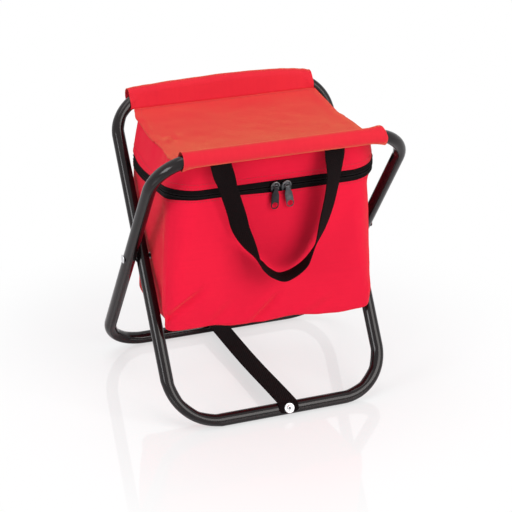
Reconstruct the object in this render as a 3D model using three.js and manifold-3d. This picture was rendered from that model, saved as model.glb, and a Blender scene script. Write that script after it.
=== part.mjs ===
// A folding stool with a cooler bag under its seat. Two frames of bent steel
// tube cross at riveted pivots. The fabric seat is slung between sleeves on
// their top rails, an insulated bag is zipped to the seat's underside, and a
// webbing strap between the bottom rails stops the frames from spreading.
// Millimetres. The rails run along X, the front faces -Y, and the floor is z = 0.

import * as THREE from 'three';
import { mergeVertices } from 'three/addons/utils/BufferGeometryUtils.js';
import Module from 'manifold-3d';

const wasm = await Module();
wasm.setup();

// General fits
const clearance = 0.3;
const overrun = 5;

// Frame tubes
const tubeDiameter = 16;
const tubeWall = 1.2;
const tubeSides = 16;
const bendSteps = 7;
const outerFrameWidth = 314;
const pivotGap = 1.6;
const seatRailSpacing = 224;
const floorRailSpacing = 239;
const seatRailHeight = 351;
const outerSeatBend = 51;
const outerFloorBend = 55;
const innerSeatBend = 46;
const innerFloorBend = 58;
const buttGap = 0.6;
const spliceLength = 60;
const spliceWall = 1;

// Pivot rivets and the spacers between the tubes
const rivetShank = 5;
const rivetHead = 11;
const rivetHeadRise = 2.2;
const rivetTail = 8;
const rivetTailRise = 1;
const rivetBore = 2.4;
const rivetBoreDepth = 3;
const spacerDiameter = 13;

// Floor strap and its rivets
const webbingWidth = 25;
const webbingThickness = 1.6;
const strapSkew = 10;
const strapWrapBelowRivet = 32;
const strapRivetTilt = 26;
const strapRivetShank = 4;
const strapRivetHead = 6.6;
const strapRivetRise = 1.1;
const strapRivetBore = 2;
const strapRivetTail = 5.6;
const strapRivetTailLength = 2;
const strapWasherDiameter = 12.6;
const strapWasherThickness = 0.8;

// Seat fabric and its sleeves
const seatFabric = 2;
const sleeveFabric = 1.5;
const sleeveLength = 252;
const seatWidth = 234;
const seatSag = 8.3;
const seamRadius = 1.2;
const seamCoreRadius = 0.3;
const frontSeamInset = 8.4;
const frontSeamDrop = 7.2;
const rearSeamInset = 12.5;
const rearSeamDrop = 10.5;
const seatEndInset = 1.6;
const seatEndDrop = 1.9;

// Lid, zipper and bag. They hang from the seat, so heights are drops below its rails
const zipDrop = 60;
const zipTape = 6.6;
const zipGap = 1.2;
const zipTapeThickness = 1.5;
const coilHeight = 2.2;
const coilProud = 0.6;
const coilDepth = 2.4;
const zipSideSetback = 24;
const bagFabric = 1.5;
const foam = 5;
const liner = 0.8;
const mouthSideGap = 1.4;
const mouthFront = 86;
const mouthRear = 80;
const mouthFrontCorner = 36;
const mouthRearCorner = 20;
const lidTopFront = 97;
const lidTopRear = 86;
const bellyDrop = 151;
const bellySideGap = 2.1;
const bellyFront = 88;
const bellyRear = 79;
const bagDrop = 241;
const bottomSideGap = 3.9;
const bottomFront = 80;
const bottomRear = 73;
const bottomFrontCorner = 26;
const bottomRearCorner = 18;
const bottomRound = 9;
const cornerSteps = 6;

// Zipper sliders and pulls
const leftSliderPlace = -3;
const rightSliderPlace = 11.3;
const sliderLength = 12;
const sliderHeight = 9.4;
const sliderPlate = 1.3;
const sliderWaistShare = 0.74;
const bailReach = 2.3;
const bailRise = 1;
const bailWire = 1.3;
const bailSpan = 7.4;
const pullLength = 27;
const pullWidth = 9.4;
const pullNeck = 4.2;
const pullThickness = 1.3;
const pullKnuckleWall = 0.7;
const pullHole = 5.6;
const pullHoleEdge = 1.7;
const pullShoulder = 6;

// Carrying handles
const handlePlace = 108;
const handleSpan = 144;
const handleDrop = 158;
const handleShift = -8.7;
const handleSteps = 36;
const handleEndDrop = 4.2;
// Places down the handle's middle line, as shares of half its span and of its drop,
// with the turn of its face there in degrees.
const handlePathPlaces = [
  [-1, 0, 0], [-0.975, 0.04, 0], [-0.966, 0.057, 0], [-0.957, 0.075, 0], [-0.935, 0.11, 8], [-0.88, 0.19, 36],
  [-0.83, 0.26, 44], [-0.7, 0.44, 45], [-0.63, 0.56, 46], [-0.53, 0.66, 54], [-0.41, 0.765, 74], [-0.3, 0.85, 96], [-0.2, 0.9, 102],
  [-0.09, 0.95, 99], [0.1, 1, 92], [0.28, 0.99, 85], [0.45, 0.95, 80], [0.56, 0.905, 75], [0.66, 0.83, 64],
  [0.75, 0.745, 55], [0.81, 0.67, 46], [0.865, 0.58, 38], [0.915, 0.49, 34], [0.955, 0.4, 32], [0.99, 0.3, 29],
  [1.01, 0.19, 21], [1.007, 0.115, 6], [1.004, 0.08, 0], [1.003, 0.06, 0], [1.002, 0.04, 0], [1, 0, 0],
];

// Worked out from the sizes above
const tubeRadius = tubeDiameter / 2;
const tubeCornerRadius = tubeRadius / Math.cos(Math.PI / tubeSides);
const tubeBore = tubeRadius - tubeWall;
const outerHalfWidth = outerFrameWidth / 2;
const innerHalfWidth = outerHalfWidth - tubeDiameter - pivotGap;
const frameRise = seatRailHeight - tubeRadius;
const frameRun = (seatRailSpacing + floorRailSpacing) / 2;
const pivotHeight = seatRailHeight - frameRise * (seatRailSpacing / 2) / frameRun;
const legLength = Math.hypot(frameRise, frameRun);
const seatRailPlace = seatRailSpacing / 2;
const floorRailPlace = floorRailSpacing / 2;
const zipHeight = seatRailHeight - zipDrop;
const bellyHeight = seatRailHeight - bellyDrop;
const bagBottomHeight = seatRailHeight - bagDrop;
const roomHalfWidth = innerHalfWidth - tubeRadius;
const mouthHalfWidth = roomHalfWidth - mouthSideGap;
const bellyHalfWidth = roomHalfWidth - bellySideGap;
const bottomHalfWidth = roomHalfWidth - bottomSideGap;

// Materials
const paintedSteel = new THREE.MeshStandardMaterial({ color: 0x17161a, roughness: 0.25, metalness: 0.6 });
const brightSteel = new THREE.MeshStandardMaterial({ color: 0xc9cacd, roughness: 0.3, metalness: 1 });
const nylon = new THREE.MeshStandardMaterial({ color: 0x2a2a2c, roughness: 0.6, metalness: 0 });
const redFabric = new THREE.MeshStandardMaterial({ color: 0xd9202c, roughness: 0.85, metalness: 0 });
const blackWebbing = new THREE.MeshStandardMaterial({ color: 0x1c1a1b, roughness: 0.8, metalness: 0 });
const zipperBlack = new THREE.MeshStandardMaterial({ color: 0x121214, roughness: 0.6, metalness: 0 });
const gunmetal = new THREE.MeshStandardMaterial({ color: 0x54565b, roughness: 0.35, metalness: 0.9 });
const whiteFoam = new THREE.MeshStandardMaterial({ color: 0xe9e9e4, roughness: 0.9, metalness: 0 });
const silverFoil = new THREE.MeshStandardMaterial({ color: 0xc4c7ca, roughness: 0.35, metalness: 0.7 });

const stool = new THREE.Group();
stool.name = 'folding_cooler_stool';

const radians = (degrees) => THREE.MathUtils.degToRad(degrees);

// Solids and meshes
function toSolid(geometry) {
  const bare = geometry.clone();
  bare.deleteAttribute('normal');
  bare.deleteAttribute('uv');
  const merged = mergeVertices(bare);
  const vertProperties = new Float32Array(merged.attributes.position.array);
  const triVerts = new Uint32Array(merged.index.array);
  return new wasm.Manifold(new wasm.Mesh({ numProp: 3, vertProperties, triVerts }));
}

function toGeometry(solid) {
  const mesh = solid.getMesh();
  const geometry = new THREE.BufferGeometry();
  geometry.setAttribute('position', new THREE.BufferAttribute(mesh.vertProperties, mesh.numProp));
  geometry.setIndex(new THREE.BufferAttribute(mesh.triVerts, 1));
  geometry.computeVertexNormals();
  return geometry;
}

function addPiece(name, shape, material) {
  const geometry = shape.isBufferGeometry ? shape : toGeometry(shape);
  const mesh = new THREE.Mesh(geometry, material);
  mesh.name = name;
  stool.add(mesh);
  return mesh;
}

// An outline in the YZ plane, drawn out along X
const acrossX = new THREE.Matrix4().makeBasis(
  new THREE.Vector3(0, 1, 0),
  new THREE.Vector3(0, 0, 1),
  new THREE.Vector3(1, 0, 0),
);

function drawnAlongX(shape, from, to) {
  const geometry = new THREE.ExtrudeGeometry(shape, { depth: to - from, bevelEnabled: false });
  geometry.translate(0, 0, from);
  return geometry.applyMatrix4(acrossX);
}

function boxBetween(low, high) {
  const size = high.map((value, axis) => value - low[axis]);
  const middle = high.map((value, axis) => (value + low[axis]) / 2);
  return toSolid(new THREE.BoxGeometry(...size).translate(...middle));
}

// A turned piece on an axis through a point, from radius and height pairs
function turned(profile, point, direction, segments) {
  const points = profile.map(([radius, height]) => new THREE.Vector2(radius, height));
  const geometry = new THREE.LatheGeometry(points, segments);
  const turn = new THREE.Quaternion().setFromUnitVectors(new THREE.Vector3(0, 1, 0), direction);
  return geometry.applyQuaternion(turn).translate(point.x, point.y, point.z);
}

function rod(radius, from, to, point, direction, segments) {
  const profile = [[0, from], [radius, from], [radius, to], [0, to]];
  return toSolid(turned(profile, point, direction, segments));
}

// A path whose sections stand at chosen stations, each with its own normal
class StationPath extends THREE.Curve {
  constructor(stations) {
    super();
    this.stations = stations;
  }

  get steps() {
    return this.stations.length - 1;
  }

  getPointAt(share) {
    return this.stations[Math.round(share * this.steps)].point.clone();
  }

  getPoint(share) {
    return this.getPointAt(share);
  }

  computeFrenetFrames() {
    const tangents = this.stations.map((station) => station.tangent);
    const normals = this.stations.map((station) => station.normal);
    const binormals = normals.map((normal, i) => new THREE.Vector3().crossVectors(tangents[i], normal));
    return { tangents, normals, binormals };
  }
}

function sweep(shape, stations) {
  const path = new StationPath(stations);
  return new THREE.ExtrudeGeometry(shape, { extrudePath: path, steps: path.steps });
}

// Tube frames: a loop of straight runs and round bends in a leaning plane
function loopStations(frame) {
  const { halfWidth, seatBend, floorBend, leg, normal } = frame;
  const across = new THREE.Vector3(1, 0, 0);
  const stations = [];
  const addStation = (u, v, angle) => {
    const point = frame.foot.clone().addScaledVector(across, u).addScaledVector(leg, v);
    const tangent = across.clone().multiplyScalar(Math.sin(angle)).addScaledVector(leg, -Math.cos(angle));
    stations.push({ point, tangent, normal });
  };
  const addBend = (u, v, radius, from) => {
    for (let i = 0; i <= bendSteps; i += 1) {
      const angle = from - (Math.PI / 2) * (i / bendSteps);
      addStation(u + radius * Math.cos(angle), v + radius * Math.sin(angle), angle);
    }
  };
  addStation(buttGap / 2, legLength, Math.PI / 2);
  addBend(halfWidth - seatBend, legLength - seatBend, seatBend, Math.PI / 2);
  addBend(halfWidth - floorBend, floorBend, floorBend, 0);
  addBend(floorBend - halfWidth, floorBend, floorBend, -Math.PI / 2);
  addBend(seatBend - halfWidth, legLength - seatBend, seatBend, -Math.PI);
  addStation(-buttGap / 2, legLength, Math.PI / 2);
  return stations;
}

// A round section whose flats include one that lies on the floor
function tubeSection(frame, outside, inside) {
  const binormal = new THREE.Vector3(-1, 0, 0).cross(frame.normal);
  const flat = Math.atan2(-binormal.z, -frame.normal.z);
  const corner = (i) => flat + (2 * Math.PI * (i + 0.5)) / tubeSides;
  const ring = (radius) => Array.from({ length: tubeSides }, (_, i) => (
    new THREE.Vector2(radius * Math.cos(corner(i)), radius * Math.sin(corner(i)))
  ));
  const shape = new THREE.Shape(ring(outside));
  if (inside > 0) shape.holes.push(new THREE.Path(ring(inside)));
  return shape;
}

// side is -1 where the top rail is at the front, 1 where it is at the rear
function makeFrame(side, halfWidth, seatBend, floorBend) {
  const foot = new THREE.Vector3(0, -side * floorRailPlace, tubeRadius);
  const head = new THREE.Vector3(0, side * seatRailPlace, seatRailHeight);
  const leg = head.clone().sub(foot).normalize();
  const normal = new THREE.Vector3(1, 0, 0).cross(leg);
  return { side, halfWidth, seatBend, floorBend, foot, head, leg, normal };
}

const outerFrame = makeFrame(-1, outerHalfWidth, outerSeatBend, outerFloorBend);
const innerFrame = makeFrame(1, innerHalfWidth, innerSeatBend, innerFloorBend);

// The room that a frame's tube needs, bends included, for cutting what it passes
function frameRoom(frame) {
  return toSolid(sweep(tubeSection(frame, tubeCornerRadius + clearance, 0), loopStations(frame)));
}

// The strap's rivet stands on its rail at a tilt, clear of the top
function strapRivetAxis(side) {
  const tilt = radians(strapRivetTilt);
  return new THREE.Vector3(0, side * Math.cos(tilt), Math.sin(tilt));
}

function strapRivetPlace(side) {
  return new THREE.Vector3(-side * strapSkew / 2, side * floorRailPlace, tubeRadius);
}

function addFrameTube(name, frame) {
  const section = tubeSection(frame, tubeCornerRadius, tubeBore);
  const tube = toSolid(sweep(section, loopStations(frame)));
  const pivotPoint = new THREE.Vector3(0, 0, pivotHeight);
  const alongX = new THREE.Vector3(1, 0, 0);
  const reach = outerHalfWidth + tubeDiameter;
  const pivotDrill = rod(rivetShank / 2 + clearance, -reach, reach, pivotPoint, alongX, 20);
  const strapSide = -frame.side;
  const drillReach = tubeDiameter;
  const strapDrill = rod(
    strapRivetShank / 2 + clearance, 0, drillReach, strapRivetPlace(strapSide), strapRivetAxis(strapSide), 16,
  );
  // One bent tube in fact: its legs and bows are nodes of their own, for simple collision pieces
  const loop = tube.subtract(pivotDrill).subtract(strapDrill);
  const up = frame.leg.toArray();
  const down = frame.leg.clone().negate().toArray();
  const base = frame.foot.dot(frame.leg);
  const floorCut = base + frame.floorBend;
  const seatCut = base + legLength - frame.seatBend;
  const joint = clearance / 2;
  const legs = loop.trimByPlane(up, floorCut + joint).trimByPlane(down, joint - seatCut);
  const bows = loop.trimByPlane(up, seatCut + joint);
  addPiece(`${name}_floor_bow`, loop.trimByPlane(down, joint - floorCut), paintedSteel);
  addPiece(`${name}_left_leg`, legs.trimByPlane([-1, 0, 0], 0), paintedSteel);
  addPiece(`${name}_right_leg`, legs.trimByPlane([1, 0, 0], 0), paintedSteel);
  addPiece(`${name}_left_bow`, bows.trimByPlane([-1, 0, 0], 0), paintedSteel);
  addPiece(`${name}_right_bow`, bows.trimByPlane([1, 0, 0], 0), paintedSteel);
}

// The splice fills the tube's bore where its two ends meet under the sleeve
function addSplice(name, frame) {
  const outside = (tubeBore - clearance) * Math.cos(Math.PI / tubeSides);
  const section = tubeSection(frame, outside, outside - spliceWall);
  const station = (u) => ({
    point: frame.head.clone().add(new THREE.Vector3(u, 0, 0)),
    tangent: new THREE.Vector3(1, 0, 0),
    normal: frame.normal,
  });
  addPiece(name, sweep(section, [station(-spliceLength / 2), station(spliceLength / 2)]), paintedSteel);
}

addFrameTube('outer_frame', outerFrame);
addFrameTube('inner_frame', innerFrame);
addSplice('outer_frame_splice', outerFrame);
addSplice('inner_frame_splice', innerFrame);

// Pivots: a domed rivet through both tubes, with a spacer between them
function addPivot(name, side) {
  const axis = new THREE.Vector3(side, 0, 0);
  const place = new THREE.Vector3(0, 0, pivotHeight);
  const headSeat = outerHalfWidth + tubeCornerRadius + clearance;
  const tailSeat = innerHalfWidth - tubeCornerRadius - clearance;
  const shank = rivetShank / 2;
  const dome = [];
  const domeSteps = 5;
  for (let i = 0; i <= domeSteps; i += 1) {
    const angle = (Math.PI / 2) * (i / domeSteps);
    dome.push([(rivetHead / 2) * Math.cos(angle), headSeat + rivetHeadRise * Math.sin(angle)]);
  }
  const profile = [
    [0, tailSeat - rivetTailRise + rivetBoreDepth],
    [rivetBore / 2, tailSeat - rivetTailRise + rivetBoreDepth],
    [rivetBore / 2, tailSeat - rivetTailRise],
    [rivetTail / 2 - rivetTailRise, tailSeat - rivetTailRise],
    [rivetTail / 2, tailSeat - rivetTailRise / 2],
    [rivetTail / 2, tailSeat],
    [shank, tailSeat],
    [shank, headSeat],
    ...dome.slice(0, -1),
    [0, headSeat + rivetHeadRise],
  ];
  addPiece(`pivot_rivet_${name}`, turned(profile, place, axis, 20), brightSteel);

  const gapLow = innerHalfWidth + tubeCornerRadius + clearance;
  const gapHigh = outerHalfWidth - tubeCornerRadius - clearance;
  const bore = shank + clearance;
  const ring = [
    [bore, gapLow], [spacerDiameter / 2, gapLow], [spacerDiameter / 2, gapHigh], [bore, gapHigh], [bore, gapLow],
  ];
  addPiece(`pivot_spacer_${name}`, turned(ring, place, axis, 24), nylon);
}

addPivot('left', -1);
addPivot('right', 1);

// Floor strap: it runs over both bottom rails and is riveted on their far sides
const strapInside = tubeCornerRadius + clearance;
const strapOutside = strapInside + webbingThickness;
const wrapSteps = 9;

function strapOutline() {
  const low = radians(strapRivetTilt - strapWrapBelowRivet);
  const arc = (side, radius) => Array.from({ length: wrapSteps + 1 }, (_, i) => {
    const angle = low + (Math.PI / 2 - low) * (i / wrapSteps);
    const y = side * (floorRailPlace + radius * Math.cos(angle));
    return new THREE.Vector2(y, tubeRadius + radius * Math.sin(angle));
  });
  return new THREE.Shape([
    ...arc(-1, strapOutside),
    ...arc(1, strapOutside).reverse(),
    ...arc(1, strapInside),
    ...arc(-1, strapInside).reverse(),
  ]);
}

function addStrap() {
  const strap = drawnAlongX(strapOutline(), -webbingWidth / 2, webbingWidth / 2);
  const skew = new THREE.Matrix4().makeShear(0, 0, -strapSkew / floorRailSpacing, 0, 0, 0);
  let solid = toSolid(strap.applyMatrix4(skew));
  for (const side of [-1, 1]) {
    const hole = rod(
      strapRivetShank / 2 + clearance, 0, strapOutside + overrun, strapRivetPlace(side), strapRivetAxis(side), 16,
    );
    solid = solid.subtract(hole);
  }
  addPiece('spread_strap', solid, blackWebbing);
}

function addStrapRivet(name, side) {
  const place = strapRivetPlace(side);
  const axis = strapRivetAxis(side);
  const shank = strapRivetShank / 2;
  const bore = strapRivetBore / 2;
  const washerSeat = strapOutside + clearance;
  const headSeat = washerSeat + strapWasherThickness + clearance;
  const tailSeat = (tubeBore - clearance) * Math.cos(Math.PI / tubeSides);
  const edge = strapRivetRise / 2;
  const washerBore = shank + clearance;
  const washerEdge = strapWasherDiameter / 2;
  const washer = [
    [washerBore, washerSeat],
    [washerEdge, washerSeat],
    [washerEdge, washerSeat + strapWasherThickness / 2],
    [washerEdge - strapWasherThickness / 2, washerSeat + strapWasherThickness],
    [washerBore, washerSeat + strapWasherThickness],
    [washerBore, washerSeat],
  ];
  addPiece(`strap_washer_${name}`, turned(washer, place, axis, 24), brightSteel);

  const rivet = [
    [bore, tailSeat - strapRivetTailLength],
    [strapRivetTail / 2 - edge, tailSeat - strapRivetTailLength],
    [strapRivetTail / 2, tailSeat - strapRivetTailLength / 2],
    [shank, tailSeat],
    [shank, headSeat],
    [strapRivetHead / 2, headSeat],
    [strapRivetHead / 2, headSeat + edge],
    [strapRivetHead / 2 - edge, headSeat + strapRivetRise],
    [bore + edge / 2, headSeat + strapRivetRise],
    [bore, headSeat + edge],
    [bore, tailSeat - strapRivetTailLength],
  ];
  addPiece(`strap_rivet_${name}`, turned(rivet, place, axis, 20), brightSteel);
}

addStrap();
addStrapRivet('front', -1);
addStrapRivet('rear', 1);

// Sleeves: fabric carried round the top rail and sewn to itself at a seam
const sleeveInside = tubeCornerRadius + clearance;
const sleeveOutside = sleeveInside + sleeveFabric;
const sleeveSteps = 20;
const seamSteps = 4;

// The outline of a belt round two circles, wider at the first
function beltOutline(railCentre, railRadius, seamCentre, seamSize) {
  const line = seamCentre.clone().sub(railCentre);
  const heading = Math.atan2(line.y, line.x);
  const spread = Math.acos((railRadius - seamSize) / line.length());
  const arc = (centre, radius, from, to, steps) => Array.from({ length: steps + 1 }, (_, i) => {
    const angle = from + (to - from) * (i / steps);
    return new THREE.Vector2(centre.x + radius * Math.cos(angle), centre.y + radius * Math.sin(angle));
  });
  const fullTurn = 2 * Math.PI;
  return [
    ...arc(railCentre, railRadius, heading + spread, heading + fullTurn - spread, sleeveSteps),
    ...arc(seamCentre, seamSize, heading - spread, heading + spread, seamSteps),
  ];
}

function seamPlace(side) {
  const inset = side < 0 ? frontSeamInset : rearSeamInset;
  const drop = side < 0 ? frontSeamDrop : rearSeamDrop;
  return new THREE.Vector2(side * (seatRailPlace - inset), seatRailHeight - drop);
}

function railPlace(side) {
  return new THREE.Vector2(side * seatRailPlace, seatRailHeight);
}

// The room that a sleeve needs, for trimming what is sewn under it
function sleeveRoom(side) {
  const outline = beltOutline(railPlace(side), sleeveOutside + clearance, seamPlace(side), seamRadius + clearance);
  return toSolid(drawnAlongX(new THREE.Shape(outline), -sleeveLength / 2, sleeveLength / 2));
}

function addSleeve(name, frame) {
  const { side } = frame;
  const rail = railPlace(side);
  const seam = seamPlace(side);
  const hole = sleeveInside / Math.cos(Math.PI / sleeveSteps);
  const shape = new THREE.Shape(beltOutline(rail, sleeveOutside, seam, seamRadius));
  shape.holes.push(new THREE.Path(beltOutline(rail, hole, seam, seamCoreRadius)));
  const sleeve = toSolid(drawnAlongX(shape, -sleeveLength / 2, sleeveLength / 2));
  addPiece(name, sleeve.subtract(frameRoom(frame)), redFabric);
}

addSleeve('front_sleeve', outerFrame);
addSleeve('rear_sleeve', innerFrame);

// Seat panel: a sheet that sags between the two seams
const seatEnds = [-1, 1].map((side) => {
  const seam = seamPlace(side);
  return new THREE.Vector2(seam.x - side * seatEndInset, seam.y - seatEndDrop);
});
const seatSteps = 12;

function seatHeight(y) {
  const share = (y - seatEnds[0].x) / (seatEnds[1].x - seatEnds[0].x);
  return THREE.MathUtils.lerp(seatEnds[0].y, seatEnds[1].y, share) - 4 * seatSag * share * (1 - share);
}

function seatLine(offset) {
  return Array.from({ length: seatSteps + 1 }, (_, i) => {
    const y = THREE.MathUtils.lerp(seatEnds[0].x, seatEnds[1].x, i / seatSteps);
    return new THREE.Vector2(y, seatHeight(y) + offset);
  });
}

const seatUnderside = -seatFabric / 2;
const seatShape = new THREE.Shape([...seatLine(seatUnderside), ...seatLine(seatFabric / 2).reverse()]);
addPiece('seat_panel', drawnAlongX(seatShape, -seatWidth / 2, seatWidth / 2), redFabric);

// What lies under the seat by a given drop, as a cutter for the lid's pieces
function underSeat(drop) {
  const line = seatLine(seatUnderside - drop);
  line[0].x -= overrun;
  line[seatSteps].x += overrun;
  const base = bagBottomHeight;
  const shape = new THREE.Shape([
    new THREE.Vector2(line[0].x, base),
    new THREE.Vector2(line[seatSteps].x, base),
    ...line.reverse(),
  ]);
  return toSolid(drawnAlongX(shape, -outerHalfWidth, outerHalfWidth));
}

// Plans: a level is a rectangle with round corners, wider or narrower at each height
function planOutline(level) {
  const corners = [
    [1, 1, level.rearCorner, 0],
    [-1, 1, level.rearCorner, Math.PI / 2],
    [-1, -1, level.frontCorner, Math.PI],
    [1, -1, level.frontCorner, Math.PI * 1.5],
  ];
  return corners.flatMap(([sideX, sideY, radius, from]) => {
    const reach = sideY > 0 ? level.rear : level.front;
    const x = sideX * (level.halfWidth - radius);
    const y = sideY * (reach - radius);
    return Array.from({ length: cornerSteps + 1 }, (_, i) => {
      const angle = from + (Math.PI / 2) * (i / cornerSteps);
      return new THREE.Vector3(x + radius * Math.cos(angle), y + radius * Math.sin(angle), level.z);
    });
  });
}

function inset(level, amount) {
  return {
    z: level.z,
    halfWidth: level.halfWidth - amount,
    front: level.front - amount,
    rear: level.rear - amount,
    frontCorner: level.frontCorner - amount,
    rearCorner: level.rearCorner - amount,
  };
}

// A closed solid through a stack of plans, from the lowest to the highest
function loft(levels) {
  const rings = levels.map(planOutline);
  const count = rings[0].length;
  const positions = rings.flat().flatMap((point) => point.toArray());
  const triangles = [];
  for (let r = 0; r < rings.length - 1; r += 1) {
    for (let i = 0; i < count; i += 1) {
      const next = (i + 1) % count;
      const a = r * count + i;
      const b = r * count + next;
      triangles.push(a, b, b + count, a, b + count, a + count);
    }
  }
  const top = (rings.length - 1) * count;
  for (let i = 1; i < count - 1; i += 1) {
    triangles.push(0, i + 1, i);
    triangles.push(top, top + i, top + i + 1);
  }
  const geometry = new THREE.BufferGeometry();
  geometry.setAttribute('position', new THREE.Float32BufferAttribute(positions, 3));
  geometry.setIndex(triangles);
  return toSolid(geometry);
}

const mouth = {
  halfWidth: mouthHalfWidth,
  front: mouthFront,
  rear: mouthRear,
  frontCorner: mouthFrontCorner,
  rearCorner: mouthRearCorner,
};
const belly = { ...mouth, z: bellyHeight, halfWidth: bellyHalfWidth, front: bellyFront, rear: bellyRear };
const bottom = {
  z: bagBottomHeight + bottomRound,
  halfWidth: bottomHalfWidth,
  front: bottomFront,
  rear: bottomRear,
  frontCorner: bottomFrontCorner,
  rearCorner: bottomRearCorner,
};
const zipHalfGap = zipGap / 2;
const bagRim = zipHeight - zipHalfGap - zipTape - clearance;
const lidRim = zipHeight + zipHalfGap + zipTape + clearance;

// Bag: an open box of fabric, foam and liner, one inside the other
function bagLevels(wall, rim) {
  const roundSteps = 3;
  const floor = Array.from({ length: roundSteps }, (_, i) => {
    const angle = (Math.PI / 2) * (i / roundSteps);
    const level = inset(bottom, wall + bottomRound * (1 - Math.sin(angle)));
    return { ...level, z: bagBottomHeight + wall + bottomRound * (1 - Math.cos(angle)) };
  });
  return [
    ...floor,
    inset({ ...bottom, z: bottom.z + wall }, wall),
    inset(belly, wall),
    inset({ ...mouth, z: rim }, wall),
  ];
}

function openBox(outside, wall) {
  const cavity = bagLevels(outside + wall, bagRim + overrun);
  return loft(bagLevels(outside, bagRim)).subtract(loft(cavity));
}

const foamInset = bagFabric + clearance;
const linerInset = foamInset + foam + clearance;
addPiece('bag_shell', openBox(0, bagFabric), redFabric);
addPiece('bag_insulation', openBox(foamInset, foam), whiteFoam);
addPiece('bag_liner', openBox(linerInset, liner), silverFoil);

// Lid: the same three layers, shaped to the underside of the seat
const lidTop = {
  ...mouth,
  z: seatRailHeight,
  halfWidth: seatWidth / 2,
  front: lidTopFront,
  rear: lidTopRear,
};

function lidBlock(side, drop) {
  const base = { ...mouth, z: lidRim };
  return loft([inset(base, side), inset(lidTop, side)]).intersect(underSeat(drop));
}

function lidLayer(side, drop, wall, cover) {
  const hollowBase = inset({ ...mouth, z: lidRim - overrun }, side + wall);
  const hollow = loft([hollowBase, inset({ ...mouth, z: lidRim }, side + wall), inset(lidTop, side + wall)]);
  return lidBlock(side, drop).subtract(hollow.intersect(underSeat(drop + cover)));
}

const lidFoamDrop = clearance;
const lidLinerDrop = lidFoamDrop + foam + clearance;
const openTop = -overrun;
const lidWall = lidBlock(0, clearance).subtract(
  loft([inset({ ...mouth, z: lidRim - overrun }, bagFabric), inset({ ...mouth, z: lidRim }, bagFabric),
    inset(lidTop, bagFabric)]).intersect(underSeat(openTop)),
);
addPiece('lid_wall', lidWall, redFabric);
addPiece('lid_insulation', lidLayer(foamInset, lidFoamDrop, foam, foam), whiteFoam);
addPiece('lid_liner', lidLayer(linerInset, lidLinerDrop, liner, liner), silverFoil);

// Zipper: a tape with a coil along its edge on the lid, and one on the bag.
// The rear, where there is no zipper, has a fabric strip that acts as the hinge.
function ringBand(low, high, outset, thickness) {
  const outside = inset(mouth, -outset);
  const inside = inset(mouth, thickness - outset);
  const solid = loft([{ ...outside, z: low }, { ...outside, z: high }]);
  return solid.subtract(loft([{ ...inside, z: low - overrun }, { ...inside, z: high + overrun }]));
}

const zipEnd = mouthRear - zipSideSetback;
const reachAcross = mouthHalfWidth + overrun;
const frontPart = boxBetween(
  [-reachAcross, -mouthFront - overrun, bagBottomHeight],
  [reachAcross, zipEnd - clearance / 2, seatRailHeight],
);
const rearPart = boxBetween(
  [-reachAcross, zipEnd + clearance / 2, bagBottomHeight],
  [reachAcross, mouthRear + overrun, seatRailHeight],
);

function addChain(name, side) {
  const split = zipHeight + side * zipHalfGap;
  const edge = split + side * zipTape;
  const coilEdge = split + side * coilHeight;
  const tape = ringBand(Math.min(split, edge), Math.max(split, edge), 0, zipTapeThickness);
  const coil = ringBand(Math.min(split, coilEdge), Math.max(split, coilEdge), coilProud, coilDepth);
  addPiece(name, tape.add(coil).intersect(frontPart), zipperBlack);
}

addChain('lid_zipper_chain', 1);
addChain('bag_zipper_chain', -1);
const hingeStrip = ringBand(bagRim + clearance, lidRim - clearance, 0, bagFabric).intersect(rearPart);
addPiece('rear_hinge_strip', hingeStrip, redFabric);

// Sliders: two plates joined by a thin waist between the coils, and a bail in
// front whose crossbar carries the pull
const coilFace = -mouthFront - coilProud;
const plateFace = coilFace - clearance - sliderPlate;
const bailAxisY = plateFace - bailReach;
const bailAxisZ = zipHeight + bailRise;

function sliderPlateOutline() {
  const long = sliderLength / 2;
  const tall = sliderHeight / 2;
  const narrow = tall * sliderWaistShare;
  return new THREE.Shape([
    new THREE.Vector2(-long, -narrow),
    new THREE.Vector2(-long / 2, -tall),
    new THREE.Vector2(long * sliderWaistShare, -tall),
    new THREE.Vector2(long, -narrow),
    new THREE.Vector2(long, narrow),
    new THREE.Vector2(long * sliderWaistShare, tall),
    new THREE.Vector2(-long / 2, tall),
    new THREE.Vector2(-long, narrow),
  ]);
}

// An outline in the XZ plane, drawn out along Y from one place to another
function drawnAlongY(shape, from, to) {
  const geometry = new THREE.ExtrudeGeometry(shape, { depth: to - from, bevelEnabled: false });
  geometry.rotateX(Math.PI / 2);
  return geometry.translate(0, to, 0);
}

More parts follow.
